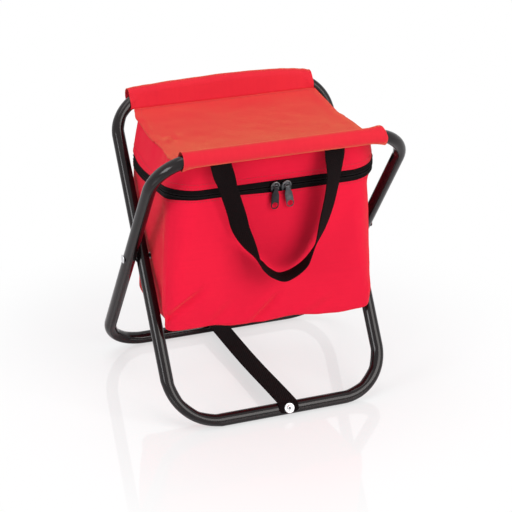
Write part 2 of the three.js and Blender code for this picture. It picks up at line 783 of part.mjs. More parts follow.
function addSlider(name, place) {
  const atPlace = (geometry) => geometry.translate(place, 0, zipHeight);
  const backFace = coilFace + coilDepth + clearance;
  const front = toSolid(atPlace(drawnAlongY(sliderPlateOutline(), plateFace, plateFace + sliderPlate)));
  const back = toSolid(atPlace(drawnAlongY(sliderPlateOutline(), backFace, backFace + sliderPlate)));
  const waist = zipHalfGap - clearance;
  const waistHalf = (sliderLength / 2) * sliderWaistShare;
  const web = boxBetween(
    [place - waistHalf, plateFace + sliderPlate / 2, zipHeight - waist],
    [place + waistHalf, backFace + sliderPlate / 2, zipHeight + waist],
  );
  let solid = front.add(back).add(web);
  const wire = bailWire / 2;
  const alongX = new THREE.Vector3(1, 0, 0);
  const crossbar = rod(
    wire, -bailSpan / 2, bailSpan / 2, new THREE.Vector3(place, bailAxisY, bailAxisZ), alongX, 10,
  );
  solid = solid.add(crossbar);
  for (const side of [-1, 1]) {
    const legEdge = place + side * (bailSpan / 2);
    const legInner = legEdge - side * bailWire;
    solid = solid.add(boxBetween(
      [Math.min(legEdge, legInner), bailAxisY - wire, bailAxisZ - wire],
      [Math.max(legEdge, legInner), plateFace + sliderPlate / 2, bailAxisZ + wire],
    ));
  }
  addPiece(`zipper_slider_${name}`, solid, gunmetal);
}

function addPull(name, place) {
  const knuckleBore = bailWire / 2 + clearance;
  const knuckle = knuckleBore + pullKnuckleWall;
  const neck = pullNeck / 2;
  const half = pullWidth / 2;
  const shoulder = knuckle + pullShoulder;
  const endRadius = half;
  const tab = new THREE.Shape();
  tab.moveTo(-neck, 0);
  tab.lineTo(-neck, -knuckle);
  tab.lineTo(-half, -shoulder);
  tab.lineTo(-half, endRadius - pullLength);
  tab.absarc(0, endRadius - pullLength, endRadius, Math.PI, 2 * Math.PI, false);
  tab.lineTo(half, -shoulder);
  tab.lineTo(neck, -knuckle);
  tab.lineTo(neck, 0);
  tab.closePath();
  const hole = new THREE.Path();
  const holeRadius = pullHole / 2;
  hole.absarc(0, holeRadius + pullHoleEdge - pullLength, holeRadius, 0, 2 * Math.PI, true);
  tab.holes.push(hole);
  const flat = new THREE.ExtrudeGeometry(tab, { depth: pullThickness, bevelEnabled: false, curveSegments: 8 });
  flat.rotateX(Math.PI / 2);
  flat.translate(place, bailAxisY + pullThickness / 2, bailAxisZ);
  const centre = new THREE.Vector3(place, bailAxisY, bailAxisZ);
  const alongX = new THREE.Vector3(1, 0, 0);
  const barrel = rod(knuckle, -neck, neck, centre, alongX, 14);
  const bore = rod(knuckleBore, -half, half, centre, alongX, 12);
  addPiece(`zipper_pull_${name}`, toSolid(flat).add(barrel).subtract(bore), gunmetal);
}

for (const [name, place] of [['left', leftSliderPlace], ['right', rightSliderPlace]]) {
  addSlider(name, place);
  addPull(name, place);
}

// Handles: webbing sewn under the sleeve's round, hanging in a loop that turns
// its face up at the lowest point. The bag behind pushes the rear one outwards.
const handleTop = seatRailHeight - sleeveOutside;

function handleStations(side) {
  const half = handleSpan / 2;
  const length = handleDrop + overrun;
  const line = new THREE.CatmullRomCurve3(handlePathPlaces.map(([across, down]) => (
    new THREE.Vector3(across * half, 0, -down * length)
  )));
  const turns = new THREE.CatmullRomCurve3(handlePathPlaces.map(([, , turn]) => (
    new THREE.Vector3(turn, 0, 0)
  )));
  const across = new THREE.Vector3(0, side, 0);
  return Array.from({ length: handleSteps + 1 }, (_, i) => {
    const share = i / handleSteps;
    const point = line.getPoint(share);
    const tangent = line.getTangent(share);
    const turn = radians(turns.getPoint(share).x);
    const faceNormal = across.clone().applyAxisAngle(tangent, -side * turn);
    const outset = side < 0 ? 0 : (webbingWidth / 2) * Math.sin(turn);
    point.set(point.x + handleShift, side * (handlePlace + outset), handleTop + overrun + point.z);
    return { point, tangent, normal: faceNormal };
  });
}

function addHandle(name, side) {
  const flatHalf = webbingWidth / 2;
  const thick = webbingThickness / 2;
  const section = new THREE.Shape([
    new THREE.Vector2(-thick, -flatHalf),
    new THREE.Vector2(thick, -flatHalf),
    new THREE.Vector2(thick, flatHalf),
    new THREE.Vector2(-thick, flatHalf),
  ]);
  const webbing = toSolid(sweep(section, handleStations(side))).subtract(sleeveRoom(side));
  const join = handleTop - handleEndDrop;
  addPiece(name, webbing.trimByPlane([0, 0, -1], clearance - join), blackWebbing);
  const sewn = webbing.trimByPlane([0, 0, 1], join);
  addPiece(`${name}_end_left`, sewn.trimByPlane([-1, 0, 0], 0), blackWebbing);
  addPiece(`${name}_end_right`, sewn.trimByPlane([1, 0, 0], 0), blackWebbing);
}

addHandle('front_handle', -1);
addHandle('rear_handle', 1);

export default stool;
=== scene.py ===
# Folding stool with a cooler bag under its seat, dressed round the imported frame.
# Lengths are millimetres until a mesh is made. Rails run along X, the front faces -Y.
import math
import bpy
from mathutils import Matrix, Vector, noise


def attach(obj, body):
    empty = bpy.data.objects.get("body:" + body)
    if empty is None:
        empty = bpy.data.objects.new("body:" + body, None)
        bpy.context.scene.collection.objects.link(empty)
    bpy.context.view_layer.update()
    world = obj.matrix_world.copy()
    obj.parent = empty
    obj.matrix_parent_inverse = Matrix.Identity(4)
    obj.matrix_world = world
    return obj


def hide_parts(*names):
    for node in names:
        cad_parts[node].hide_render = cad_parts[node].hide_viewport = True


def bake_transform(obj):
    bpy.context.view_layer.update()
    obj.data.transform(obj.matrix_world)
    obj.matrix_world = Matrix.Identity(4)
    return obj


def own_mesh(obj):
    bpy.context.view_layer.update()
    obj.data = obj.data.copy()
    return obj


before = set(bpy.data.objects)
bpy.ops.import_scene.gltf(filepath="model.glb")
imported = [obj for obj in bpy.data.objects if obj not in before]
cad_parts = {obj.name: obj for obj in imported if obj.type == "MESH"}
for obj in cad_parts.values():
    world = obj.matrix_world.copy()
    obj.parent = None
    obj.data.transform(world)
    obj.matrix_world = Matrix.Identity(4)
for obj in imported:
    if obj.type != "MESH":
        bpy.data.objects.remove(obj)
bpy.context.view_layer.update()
scene = bpy.context.scene
mm = 0.001
turn = 2 * math.pi


# Camera
photoView = {
    "turn": -21.565, "rise": 24.986, "roll": 0.802, "reach": 2.1768, "aim": (0.00875, 0, 0.1617),
    "lens": 121.8, "sensor": 36, "farthest": 50,
}


def placeCamera():
    a, e, r = (math.radians(photoView[k]) for k in ("turn", "rise", "roll"))
    back = Vector((math.sin(a) * math.cos(e), -math.cos(a) * math.cos(e), math.sin(e)))
    right = Vector((math.cos(a), math.sin(a), 0))
    up = back.cross(right)
    side = right * math.cos(r) + up * math.sin(r)
    top = up * math.cos(r) - right * math.sin(r)
    bpy.ops.object.camera_add()
    camera = bpy.context.object
    place = Vector(photoView["aim"]) + back * photoView["reach"]
    camera.matrix_world = Matrix.Translation(place) @ Matrix((side, top, back)).transposed().to_4x4()
    camera.data.lens = photoView["lens"]
    camera.data.sensor_width = photoView["sensor"]
    camera.data.clip_end = photoView["farthest"]
    scene.camera = camera


placeCamera()
scene.view_settings.view_transform = "Standard"
print("camera placed")


# Shader helpers
def addNode(tree, kind, inputs=None, **settings):
    node = tree.nodes.new(kind)
    for key, value in settings.items():
        setattr(node, key, value)
    for key, value in (inputs or {}).items():
        if isinstance(value, bpy.types.NodeSocket):
            tree.links.new(value, node.inputs[key])
        else:
            node.inputs[key].default_value = value
    return node


def maths(tree, operation, *values):
    return addNode(tree, "ShaderNodeMath", dict(enumerate(values)), operation=operation).outputs[0]


def newGroup(name, inputs, outputs):
    group = bpy.data.node_groups.new(name, "ShaderNodeTree")
    for label, kind, value in inputs:
        socket = group.interface.new_socket(label, in_out="INPUT", socket_type=kind)
        if value is not None:
            socket.default_value = value
    for label in outputs:
        group.interface.new_socket(label, in_out="OUTPUT", socket_type="NodeSocketFloat")
    return group, group.nodes.new("NodeGroupInput"), group.nodes.new("NodeGroupOutput")


# Plain weave: warp over weft in alternate cells, and painted shade in the gaps between threads
def makeWeaveGroup():
    group, start, end = newGroup(
        "plainWeave",
        [
            ("Vector", "NodeSocketVector", None), ("Warp", "NodeSocketFloat", 1500),
            ("Weft", "NodeSocketFloat", 1500),
        ],
        ["Height", "GapShade"],
    )
    parts = addNode(group, "ShaderNodeSeparateXYZ", {0: start.outputs[0]})
    waves = []
    for axis in (0, 1):
        threads = maths(group, "MULTIPLY", parts.outputs[axis], start.outputs[axis + 1])
        waves.append(maths(group, "SINE", maths(group, "MULTIPLY", threads, math.pi)))
    over = maths(group, "GREATER_THAN", maths(group, "MULTIPLY", *waves), 0)
    threads = [maths(group, "POWER", maths(group, "ABSOLUTE", wave), 0.6) for wave in waves]
    height = addNode(group, "ShaderNodeMix", {0: over, 2: threads[0], 3: threads[1]})
    group.links.new(height.outputs[0], end.inputs["Height"])
    # the gaps between threads, as the share of painted shade there
    group.links.new(maths(group, "SUBTRACT", 1, maths(group, "MINIMUM", *threads)), end.inputs["GapShade"])
    return group


# Slow change of tone over a surface
def makeMottleGroup():
    group, start, end = newGroup(
        "mottle",
        [
            ("Vector", "NodeSocketVector", None), ("Scale", "NodeSocketFloat", 20),
            ("Low", "NodeSocketFloat", 0.4), ("High", "NodeSocketFloat", 0.6),
        ],
        ["Mask", "Value"],
    )
    cloud = addNode(group, "ShaderNodeTexNoise", {
        "Vector": start.outputs[0], "Scale": start.outputs[1], "Detail": 4.0, "Roughness": 0.6,
    })
    band = addNode(
        group, "ShaderNodeMapRange", {0: cloud.outputs[0], 1: start.outputs[2], 2: start.outputs[3]},
    )
    group.links.new(band.outputs[0], end.inputs["Mask"])
    group.links.new(cloud.outputs[0], end.inputs["Value"])
    return group


weaveGroup = makeWeaveGroup()
mottleGroup = makeMottleGroup()


def newMaterial(name, **values):
    material = bpy.data.materials.new(name)
    material.use_nodes = True
    tree = material.node_tree
    shader = tree.nodes["Principled BSDF"]
    for key, value in values.items():
        shader.inputs[key.replace("_", " ")].default_value = value
    return material, tree, shader


def mottle(tree, vector, scale, low=0.4, high=0.6):
    inputs = {"Vector": vector, "Scale": scale, "Low": low, "High": high}
    return addNode(tree, "ShaderNodeGroup", inputs, node_tree=mottleGroup)


def mixColours(tree, share, first, second):
    return addNode(tree, "ShaderNodeMix", {0: share, 6: first, 7: second}, data_type="RGBA").outputs[2]


def bumpInto(tree, shader, height, strength, distance):
    bump = addNode(tree, "ShaderNodeBump", {"Height": height, "Strength": strength, "Distance": distance})
    tree.links.new(bump.outputs[0], shader.inputs["Normal"])


# Woven cloth: threads from the piece's own map, tone and slubs from its place, and painted shade in the
# weave's gaps
def wovenCloth(name, look):
    keys = ("colour", "faded", "slub", "gap", "sheenTint")
    colour, faded, slub, gap, sheenTint = ((*look[key], 1) for key in keys)
    material, tree, shader = newMaterial(
        name, Roughness=look["rough"], Sheen_Weight=look["sheen"], Sheen_Roughness=0.32,
        Sheen_Tint=sheenTint, Specular_IOR_Level=look["shine"],
    )
    flat = addNode(tree, "ShaderNodeUVMap", uv_map="cloth").outputs[0]
    place = addNode(tree, "ShaderNodeTexCoord").outputs["Object"]
    threads = {"Vector": flat, "Warp": look["warp"], "Weft": look["weft"]}
    weave = addNode(tree, "ShaderNodeGroup", threads, node_tree=weaveGroup)
    slubs = addNode(tree, "ShaderNodeMapping", {0: flat, 3: look["slubs"]})
    streaks = mottle(tree, slubs.outputs[0], 60, 0.35, 0.75)
    fade = mottle(tree, place, look["fadeScale"], 0.3, 0.7)
    tone = mixColours(tree, fade.outputs["Mask"], colour, faded)
    tone = mixColours(tree, maths(tree, "MULTIPLY", streaks.outputs["Mask"], look["slubShare"]), tone, slub)
    # painted shade: the gaps between threads are darkened towards the gap colour
    tone = mixColours(tree, maths(tree, "MULTIPLY", weave.outputs["GapShade"], look["gapShadeShare"]), tone, gap)
    tree.links.new(tone, shader.inputs["Base Color"])
    rough = maths(tree, "ADD", maths(tree, "MULTIPLY", fade.outputs["Value"], 0.2), look["rough"] - 0.1)
    tree.links.new(rough, shader.inputs["Roughness"])
    uneven = maths(tree, "MULTIPLY", streaks.outputs["Value"], 0.8)
    height = maths(tree, "ADD", weave.outputs["Height"], uneven)
    bumpInto(tree, shader, height, look["bump"], look["relief"])
    return material


# each cloth's gap colour is the painted shade between its threads
fineWeave = {"warp": 1500, "weft": 1300, "slubs": (0.35, 6, 1), "fadeScale": 9, "bump": 0.35, "relief": 0.0004}
redCloth = wovenCloth("redCloth", {
    **fineWeave, "colour": (0.80, 0.007, 0.041), "faded": (0.85, 0.011, 0.044),
    "slub": (0.74, 0.007, 0.037), "slubShare": 0.35, "gap": (0.45, 0.003, 0.018), "gapShadeShare": 0.35,
    "rough": 0.78, "sheen": 0.15, "sheenTint": (1, 0.70, 0.24), "shine": 0.12,
})
# A lit copy of the red cloth for the seat and the sleeves, with painted light: the glare of the lamps above is
# painted in as a more orange, less red colour
litSeatCloth = wovenCloth("litSeatCloth", {
    **fineWeave, "colour": (0.70, 0.019, 0.039), "faded": (0.75, 0.026, 0.043),
    "slub": (0.64, 0.015, 0.035), "slubShare": 0.35, "gap": (0.40, 0.006, 0.017), "gapShadeShare": 0.35,
    "rough": 0.8, "sheen": 0.50, "sheenTint": (1, 0.80, 0.24), "shine": 0.10,
})
redBias = wovenCloth("redBinding", {
    "colour": (0.74, 0.008, 0.036), "faded": (0.80, 0.012, 0.04), "slub": (0.6, 0.006, 0.03),
    "slubShare": 0.3, "gap": (0.4, 0.003, 0.016), "gapShadeShare": 0.4, "rough": 0.8, "sheen": 0.14,
    "sheenTint": (1, 0.75, 0.4), "shine": 0.12, "warp": 1100, "weft": 1100, "slubs": (5, 0.5, 1),
    "fadeScale": 14, "bump": 0.4, "relief": 0.0005,
})
blackWebbing = wovenCloth("blackWebbing", {
    "colour": (0.006, 0.0035, 0.004), "faded": (0.010, 0.006, 0.0065), "slub": (0.014, 0.009, 0.0095),
    "slubShare": 0.35, "gap": (0.002, 0.0012, 0.0012), "gapShadeShare": 0.7, "rough": 0.75, "sheen": 0.01,
    "sheenTint": (1, 0.6, 0.6), "shine": 0.04, "warp": 640, "weft": 420, "slubs": (3, 0.3, 1),
    "fadeScale": 18, "bump": 0.7, "relief": 0.0007,
})
zipperTape = wovenCloth("zipperTape", {
    "colour": (0.003, 0.0016, 0.002), "faded": (0.005, 0.003, 0.0035), "slub": (0.008, 0.005, 0.006),
    "slubShare": 0.3, "gap": (0.002, 0.0012, 0.0012), "gapShadeShare": 0.6, "rough": 0.62, "sheen": 0.01,
    "sheenTint": (1, 0.6, 0.6), "shine": 0.06, "warp": 900, "weft": 700, "slubs": (0.4, 5, 1),
    "fadeScale": 25, "bump": 0.5, "relief": 0.0004,
})


# Hard and plain finishes, patterned by place
def solidFinish(name, look):
    colour, second, speck = ((*look[key], 1) for key in ("colour", "second", "speck"))
    material, tree, shader = newMaterial(
        name, Roughness=look["rough"], Metallic=look.get("metal", 0),
        Specular_IOR_Level=look.get("shine", 0.5), Sheen_Weight=look.get("sheen", 0),
    )
    place = addNode(tree, "ShaderNodeTexCoord").outputs["Object"]
    cloud = mottle(tree, place, look["scale"], 0.35, 0.68)
    grain = mottle(tree, place, look["grainScale"], 0.62, 0.70)
    tone = mixColours(tree, cloud.outputs["Mask"], colour, second)
    tone = mixColours(tree, maths(tree, "MULTIPLY", grain.outputs["Mask"], look["speckShare"]), tone, speck)
    tree.links.new(tone, shader.inputs["Base Color"])
    swing = maths(tree, "MULTIPLY", cloud.outputs["Value"], look["roughSwing"])
    rough = maths(tree, "ADD", swing, look["rough"] - look["roughSwing"] / 2)
    tree.links.new(rough, shader.inputs["Roughness"])
    bumpInto(tree, shader, grain.outputs["Value"], look["bump"], look["relief"])
    return material


paintedTube = solidFinish("paintedTube", {
    "colour": (0.006, 0.004, 0.0045), "second": (0.010, 0.007, 0.0075), "speck": (0.05, 0.04, 0.04),
    "speckShare": 0.2, "shine": 0.27, "rough": 0.13, "roughSwing": 0.05, "scale": 22, "grainScale": 700,
    "bump": 0.10, "relief": 0.0004,
})
brightSteel = solidFinish("brightSteel", {
    "colour": (0.80, 0.80, 0.81), "second": (0.66, 0.66, 0.68), "speck": (0.4, 0.4, 0.42),
    "speckShare": 0.3, "metal": 1, "rough": 0.26, "roughSwing": 0.16, "scale": 260, "grainScale": 1600,
    "bump": 0.08, "relief": 0.0002,
})
blackNylon = solidFinish("blackNylon", {
    "colour": (0.003, 0.0022, 0.0026), "second": (0.006, 0.005, 0.0055), "speck": (0.02, 0.018, 0.019),
    "speckShare": 0.2, "shine": 0.12, "rough": 0.55, "roughSwing": 0.1, "scale": 120, "grainScale": 1500,
    "bump": 0.2, "relief": 0.0003,
})
castGrain = {"roughSwing": 0.14, "scale": 300, "grainScale": 1800, "bump": 0.1, "relief": 0.0002}
gunmetal = solidFinish("gunmetal", {
    **castGrain, "colour": (0.050, 0.050, 0.055), "second": (0.085, 0.086, 0.092),
    "speck": (0.25, 0.25, 0.26), "speckShare": 0.3, "metal": 0.9, "rough": 0.32,
})
palePull = solidFinish("palePull", {
    **castGrain, "colour": (0.11, 0.11, 0.115), "second": (0.16, 0.16, 0.165), "speck": (0.34, 0.34, 0.35),
    "speckShare": 0.35, "metal": 0.9, "rough": 0.34,
})
darkPull = solidFinish("darkPull", {
    **castGrain, "colour": (0.014, 0.013, 0.015), "second": (0.024, 0.022, 0.025),
    "speck": (0.12, 0.12, 0.12), "speckShare": 0.3, "metal": 0.85, "rough": 0.3,
})
whiteFoam = solidFinish("whiteFoam", {
    "colour": (0.80, 0.80, 0.77), "second": (0.86, 0.86, 0.84), "speck": (0.6, 0.6, 0.58),
    "speckShare": 0.5, "sheen": 0.1, "rough": 0.85, "roughSwing": 0.1, "scale": 40, "grainScale": 900,
    "bump": 0.5, "relief": 0.0006,
})
silverLiner = solidFinish("silverLiner", {
    "colour": (0.62, 0.63, 0.65), "second": (0.72, 0.73, 0.75), "speck": (0.8, 0.8, 0.82),
    "speckShare": 0.3, "metal": 0.85, "rough": 0.34, "roughSwing": 0.2, "scale": 60, "grainScale": 260,
    "bump": 0.5, "relief": 0.0012,
})
redThread = solidFinish("redThread", {
    "colour": (0.36, 0.003, 0.016), "second": (0.46, 0.006, 0.022), "speck": (0.6, 0.02, 0.04),
    "speckShare": 0.3, "sheen": 0.1, "rough": 0.6, "roughSwing": 0.1, "scale": 300, "grainScale": 3000,
    "bump": 0.4, "relief": 0.0002,
})
print("materials made")


# Modelling helpers
def nothingSelected():
    if bpy.context.object and bpy.context.object.mode != "OBJECT":
        bpy.ops.object.mode_set(mode="OBJECT")
    bpy.ops.object.select_all(action="DESELECT")


def workOn(piece):
    nothingSelected()
    piece.select_set(True)
    bpy.context.view_layer.objects.active = piece


def wear(piece, *materials):
    piece.data.materials.clear()
    for material in materials:
        piece.data.materials.append(material)
    return piece


def applyModifier(piece, kind, **settings):
    workOn(piece)
    modifier = piece.modifiers.new(kind.lower(), kind)
    for key, value in settings.items():
        setattr(modifier, key, value)
    bpy.ops.object.modifier_apply(modifier=modifier.name)


def smoothShade(piece, angle=40):
    workOn(piece)
    bpy.ops.object.shade_smooth_by_angle(angle=math.radians(angle))


def settle(piece):
    workOn(piece)
    bpy.ops.object.transform_apply(location=True, rotation=True, scale=True)
    return piece


def startEdit(piece):
    workOn(piece)
    bpy.ops.object.mode_set(mode="EDIT")
    bpy.ops.mesh.select_all(action="SELECT")


def endEdit(weld=False):  # every face is turned outwards first
    bpy.ops.mesh.select_all(action="SELECT")
    if weld:
        bpy.ops.mesh.remove_doubles(threshold=0.01 * mm)
    bpy.ops.mesh.normals_make_consistent(inside=False)
    bpy.ops.object.mode_set(mode="OBJECT")


def joinInto(piece, others):
    nothingSelected()
    for part in (piece, *others):
        part.select_set(True)
    bpy.context.view_layer.objects.active = piece
    bpy.ops.object.join()


def meshFrom(name, points, faces, edges=()):
    mesh = bpy.data.meshes.new(name)
    mesh.from_pydata([tuple(p * mm for p in point) for point in points], list(edges), faces)
    mesh.update()
    piece = bpy.data.objects.new(name, mesh)
    scene.collection.objects.link(piece)
    return piece


def runLengths(row, closed):
    total = [0.0]
    for i in range(1, len(row) + closed):
        total.append(total[-1] + (row[i % len(row)] - row[i - 1]).length)
    return total


# A sheet through rows of points, with its flat size in metres as its map
def clothFrom(name, rows, closed=False, capped=False, floored=False):
    count = len(rows[0])
    across = runLengths(rows[len(rows) // 2], closed)
    along = [0.0]
    for low, high in zip(rows, rows[1:]):
        along.append(along[-1] + sum((b - a).length for a, b in zip(low, high)) / count)
    faces, flat = [], []
    for j in range(len(rows) - 1):
        for i in range(count if closed else count - 1):
            k = (i + 1) % count
            faces.append((j * count + i, j * count + k, (j + 1) * count + k, (j + 1) * count + i))
            flat += [(across[i], along[j]), (across[i + 1], along[j])]
            flat += [(across[i + 1], along[j + 1]), (across[i], along[j + 1])]
    if capped or floored:
        faces.append(tuple(reversed(range(count))))
        flat += [(across[i], along[0]) for i in reversed(range(count))]
    if capped:
        faces.append(tuple(range((len(rows) - 1) * count, len(rows) * count)))
        flat += [(across[i], along[-1]) for i in range(count)]
    piece = meshFrom(name, [p for row in rows for p in row], faces)
    layer = piece.data.uv_layers.new(name="cloth")
    layer.data.foreach_set("uv", [c * mm for spot in flat for c in spot])
    return piece


def thickCloth(piece, thickness, offset=-1, levels=0):
    if levels:
        applyModifier(piece, "SUBSURF", levels=levels, render_levels=levels)
    applyModifier(piece, "SOLIDIFY", thickness=thickness * mm, offset=offset)
    smoothShade(piece, 50)
    return piece


# A round piece on an axis, from radius and height pairs
def turnedPiece(name, profile, place, axis, steps=40):
    points = [(r, 0, h) for r, h in profile]
    piece = meshFrom(name, points, [], [(i, i + 1) for i in range(len(points) - 1)])
    startEdit(piece)
    bpy.ops.mesh.spin(steps=steps, angle=turn, center=(0, 0, 0), axis=(0, 0, 1))
    endEdit(weld=True)
    tilt = Vector((0, 0, 1)).rotation_difference(Vector(axis))
    piece.matrix_world = Matrix.Translation(Vector(place) * mm) @ tilt.to_matrix().to_4x4()
    settle(piece)
    smoothShade(piece, 35)
    return piece


# Short stitches laid along lines: each has a start, an end and the way up
def stitchLine(points, ups, length=2.5, gap=1.1, lift=0.15):
    total = runLengths(points, False)
    found, at, i = [], gap, 0

    def spot(reach):
        nonlocal i
        while i < len(total) - 2 and total[i + 1] < reach:
            i += 1
        share = (reach - total[i]) / max(total[i + 1] - total[i], 1e-9)
        up = ups[i].lerp(ups[i + 1], share).normalized()
        return points[i].lerp(points[i + 1], share) + up * lift, ups[i]

    while at + length < total[-1]:
        a, up = spot(at)
        b, _ = spot(at + length)
        found.append((a, b, up))
        at += length + gap
    return found


def sewStitches(name, stitches, radius=0.34):
    points, faces = [], []
    for a, b, up in stitches:
        along = (b - a).normalized()
        side = along.cross(up).normalized()
        top = side.cross(along)
        base = len(points)
        points.append(a - top * radius * 0.6)
        for share in (0.25, 0.75):
            middle = a.lerp(b, share)
            turns = [turn * n / 6 for n in range(6)]
            points += [middle + (side * math.cos(q) + top * math.sin(q)) * radius for q in turns]
        points.append(b - top * radius * 0.6)
        for n in range(6):
            m = (n + 1) % 6
            near, far = base + 1, base + 7
            faces.append((base, near + n, near + m))
            faces.append((near + n, far + n, far + m, near + m))
            faces.append((base + 13, far + m, far + n))
    piece = meshFrom(name, points, faces)
    startEdit(piece)
    endEdit()
    bpy.ops.object.shade_smooth()
    return piece


def ripple(x, y, z, size, seed=0):
    return noise.noise(Vector((x / size + seed * 7.3, y / size - seed * 3.1, z / size + seed * 1.7)))


def smoothStep(value, low, high):
    share = min(1, max(0, (value - low) / (high - low)))
    return share * share * (3 - 2 * share)


def between(value, table):  # eased steps through (place, value) pairs
    if value <= table[0][0]:
        return table[0][1]
    for (a, va), (b, vb) in zip(table, table[1:]):
        if value <= b:
            return va + (vb - va) * smoothStep(value, a, b)
    return table[-1][1]


def foldFlat(piece, body):
    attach(piece, body)
    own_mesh(piece)
    return piece


def dress(piece, material, slot, *nodes):  # its finish, and the CAD nodes that it stands for, which are hidden; slot is not used
    wear(piece, material)
    if nodes:
        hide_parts(*nodes)
    return piece


# Frame tubes: a ring is pulled out straight and spun round each bend
tube = {
    "radius": 8.0, "seatRail": 112, "floorRail": 119.5, "railHeight": 351, "sides": 40, "bendSteps": 24,
    "facet": 27,
}
tubeParts = ("floor_bow", "left_leg", "right_leg", "left_bow", "right_bow")
pivotHeight = 185.056
# flats: how deep a bend's outer side is pressed; bow: how far the legs stand aside on their way up
outerLoop = {
    "side": -1, "half": 157, "seatBend": 51, "floorBend": 55, "flats": {(-1, 1): 1.8}, "bowSide": 1,
    "bow": [(0.57, 0), (0.74, 0.9), (0.9, 1.5), (1, 0)],
}
innerLoop = {
    "side": 1, "half": 139.4, "seatBend": 46, "floorBend": 58, "flats": {(-1, -1): 2.2, (1, -1): 0},
    "bowSide": -1, "bow": [(0.58, 0), (0.78, 2.1), (0.9, 2.4), (1, 0)],
}


def legFrame(side):
    foot = Vector((0, -side * tube["floorRail"], tube["radius"]))
    head = Vector((0, side * tube["seatRail"], tube["railHeight"]))
    return foot, (head - foot).normalized(), (head - foot).length


def bentTube(name, loop, body):
    foot, leg, length = legFrame(loop["side"])
    half, seatBend, floorBend = loop["half"], loop["seatBend"], loop["floorBend"]
    nothingSelected()
    bpy.ops.mesh.primitive_circle_add(
        vertices=tube["sides"], radius=tube["radius"] * mm, location=(0, length * mm, 0),
        rotation=(0, math.pi / 2, 0),
    )
    piece = settle(bpy.context.object)
    piece.name = name
    bends = []
    startEdit(piece)

    def pull(x, y):
        bpy.ops.mesh.extrude_region_move(TRANSFORM_OT_translate={"value": (x * mm, y * mm, 0)})

    def bend(x, y, radius):
        bends.append((x, y, radius))
        bpy.ops.mesh.spin(
            steps=tube["bendSteps"], angle=math.pi / 2, center=(x * mm, y * mm, 0), axis=(0, 0, 1),
        )

    top, low = half - seatBend, half - floorBend
    straight = length - seatBend - floorBend
    pull(top, 0)
    bend(top, length - seatBend, seatBend)
    pull(0, -straight)
    bend(low, floorBend, floorBend)
    pull(-2 * low, 0)
    bend(-low, floorBend, floorBend)
    pull(0, straight)
    bend(-top, length - seatBend, seatBend)
    pull(top, 0)
    endEdit(weld=True)
    # each bend has straight facets on its inner side, and its outer side is drawn flat
    for vertex in piece.data.vertices:
        for x, y, radius in bends:
            ways = (1 if x > 0 else -1, 1 if y > length / 2 else -1)
            off = Vector((vertex.co.x / mm - x, vertex.co.y / mm - y))
            if off.x * ways[0] < -0.5 or off.y * ways[1] < -0.5 or off.length > radius + tube["radius"] + 1:
                continue
            part = math.degrees(math.atan2(abs(off.y), abs(off.x)))
            reach = (off.length - radius) / tube["radius"]
            facet = tube["facet"] / 2
            place = abs((part - 4.5) % tube["facet"] - facet)
            chord = math.cos(math.radians(facet)) / math.cos(math.radians(place))
            sag = (radius - tube["radius"]) * (1 - chord)
            ends = smoothStep(min(part, 90 - part), 0, 8)
            push = 0.6 * (0.8 - sag) * smoothStep(-reach, 0.2, 1) * ends
            if 0 < part < 90:
                middle = math.sin(math.radians(2 * part)) ** 0.6
                push -= loop["flats"].get(ways, 1.0) * smoothStep(reach, 0.1, 1) * middle
            vertex.co += Vector((off.x, off.y, 0)).normalized() * push * mm
        onLeg = smoothStep(vertex.co.x / mm * loop["bowSide"], half - 46, half - tube["radius"])
        vertex.co.x += loop["bowSide"] * between(vertex.co.y / mm / length, loop["bow"]) * onLeg * mm
    across = Vector((1, 0, 0))
    spin = Matrix((across, leg, across.cross(leg))).transposed().to_4x4()
    piece.data.transform(Matrix.Translation(foot * mm) @ spin)
    smoothShade(piece, 60)
    dress(piece, paintedTube, "painted_tube", *(f"{body}_{part}" for part in tubeParts))
    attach(piece, body)
    return piece


outerTube = bentTube("outerTube", outerLoop, "outer_frame")
innerTube = bentTube("innerTube", innerLoop, "inner_frame")
for node in ("outer_frame_splice", "inner_frame_splice"):
    wear(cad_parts[node], paintedTube)
print("tubes bent")


# Rivets, washers and spacers
rivet = {
    "outerSeat": 165.3, "innerSeat": 131.0, "head": 5.5, "rim": 0.35, "rise": 1.4, "shank": 2.5,
    "tail": 4.0, "tailBore": 1.2,
}
spacer = {"inner": 147.9, "outer": 148.5, "bore": 2.9, "radius": 6.5}


def makePivot(name, side):
    head, rim, seat, low = rivet["head"], rivet["rim"], rivet["outerSeat"], rivet["innerSeat"]
    shank, tail, hole, rise = rivet["shank"], rivet["tail"], rivet["tailBore"], rivet["rise"]
    turns = [turn / 4 * n / 9 for n in range(10)]
    dome = [(head * math.cos(q), seat + rim + (rise - rim) * math.sin(q)) for q in turns]
    rivetOutline = [
        (0, low + 2), (shank, low + 2), (shank, seat), (head - 0.25, seat), *dome[:-1], (0, seat + rise),
    ]
    tailOutline = [
        (0, low + 2), (hole, low + 2), (hole, low - 1), (tail - 0.9, low - 1), (tail - 0.25, low - 0.7),
        (tail, low), (shank - 0.1, low), (shank - 0.1, low + 2.2), (0, low + 2.2),
    ]
    bore, radius, inner, outer = (spacer[key] for key in ("bore", "radius", "inner", "outer"))
    ringOutline = [
        (bore, inner), (radius - 0.3, inner), (radius, inner + 0.15), (radius, outer - 0.15),
        (radius - 0.3, outer), (bore, outer), (bore, inner),
    ]
    parts = (
        ("pivotTail", tailOutline, paintedTube, "bright_steel", "pivot_rivet"),
        ("pivotRivet", rivetOutline, brightSteel, "bright_steel", "pivot_rivet"),
        ("pivotSpacer", ringOutline, blackNylon, "black_nylon", "pivot_spacer"),
    )
    for label, outline, material, slot, node in parts:
        piece = turnedPiece(f"{label}{name}", outline, (0, 0, pivotHeight), (side, 0, 0))
        dress(piece, material, slot, f"{node}_{name.lower()}")
        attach(piece, "seat_and_lid")


makePivot("Left", -1)
makePivot("Right", 1)

strapRivet = {"tilt": 26, "skew": 5, "seat": 10.35, "washer": 6.3, "head": 3.4, "bore": 1.0}


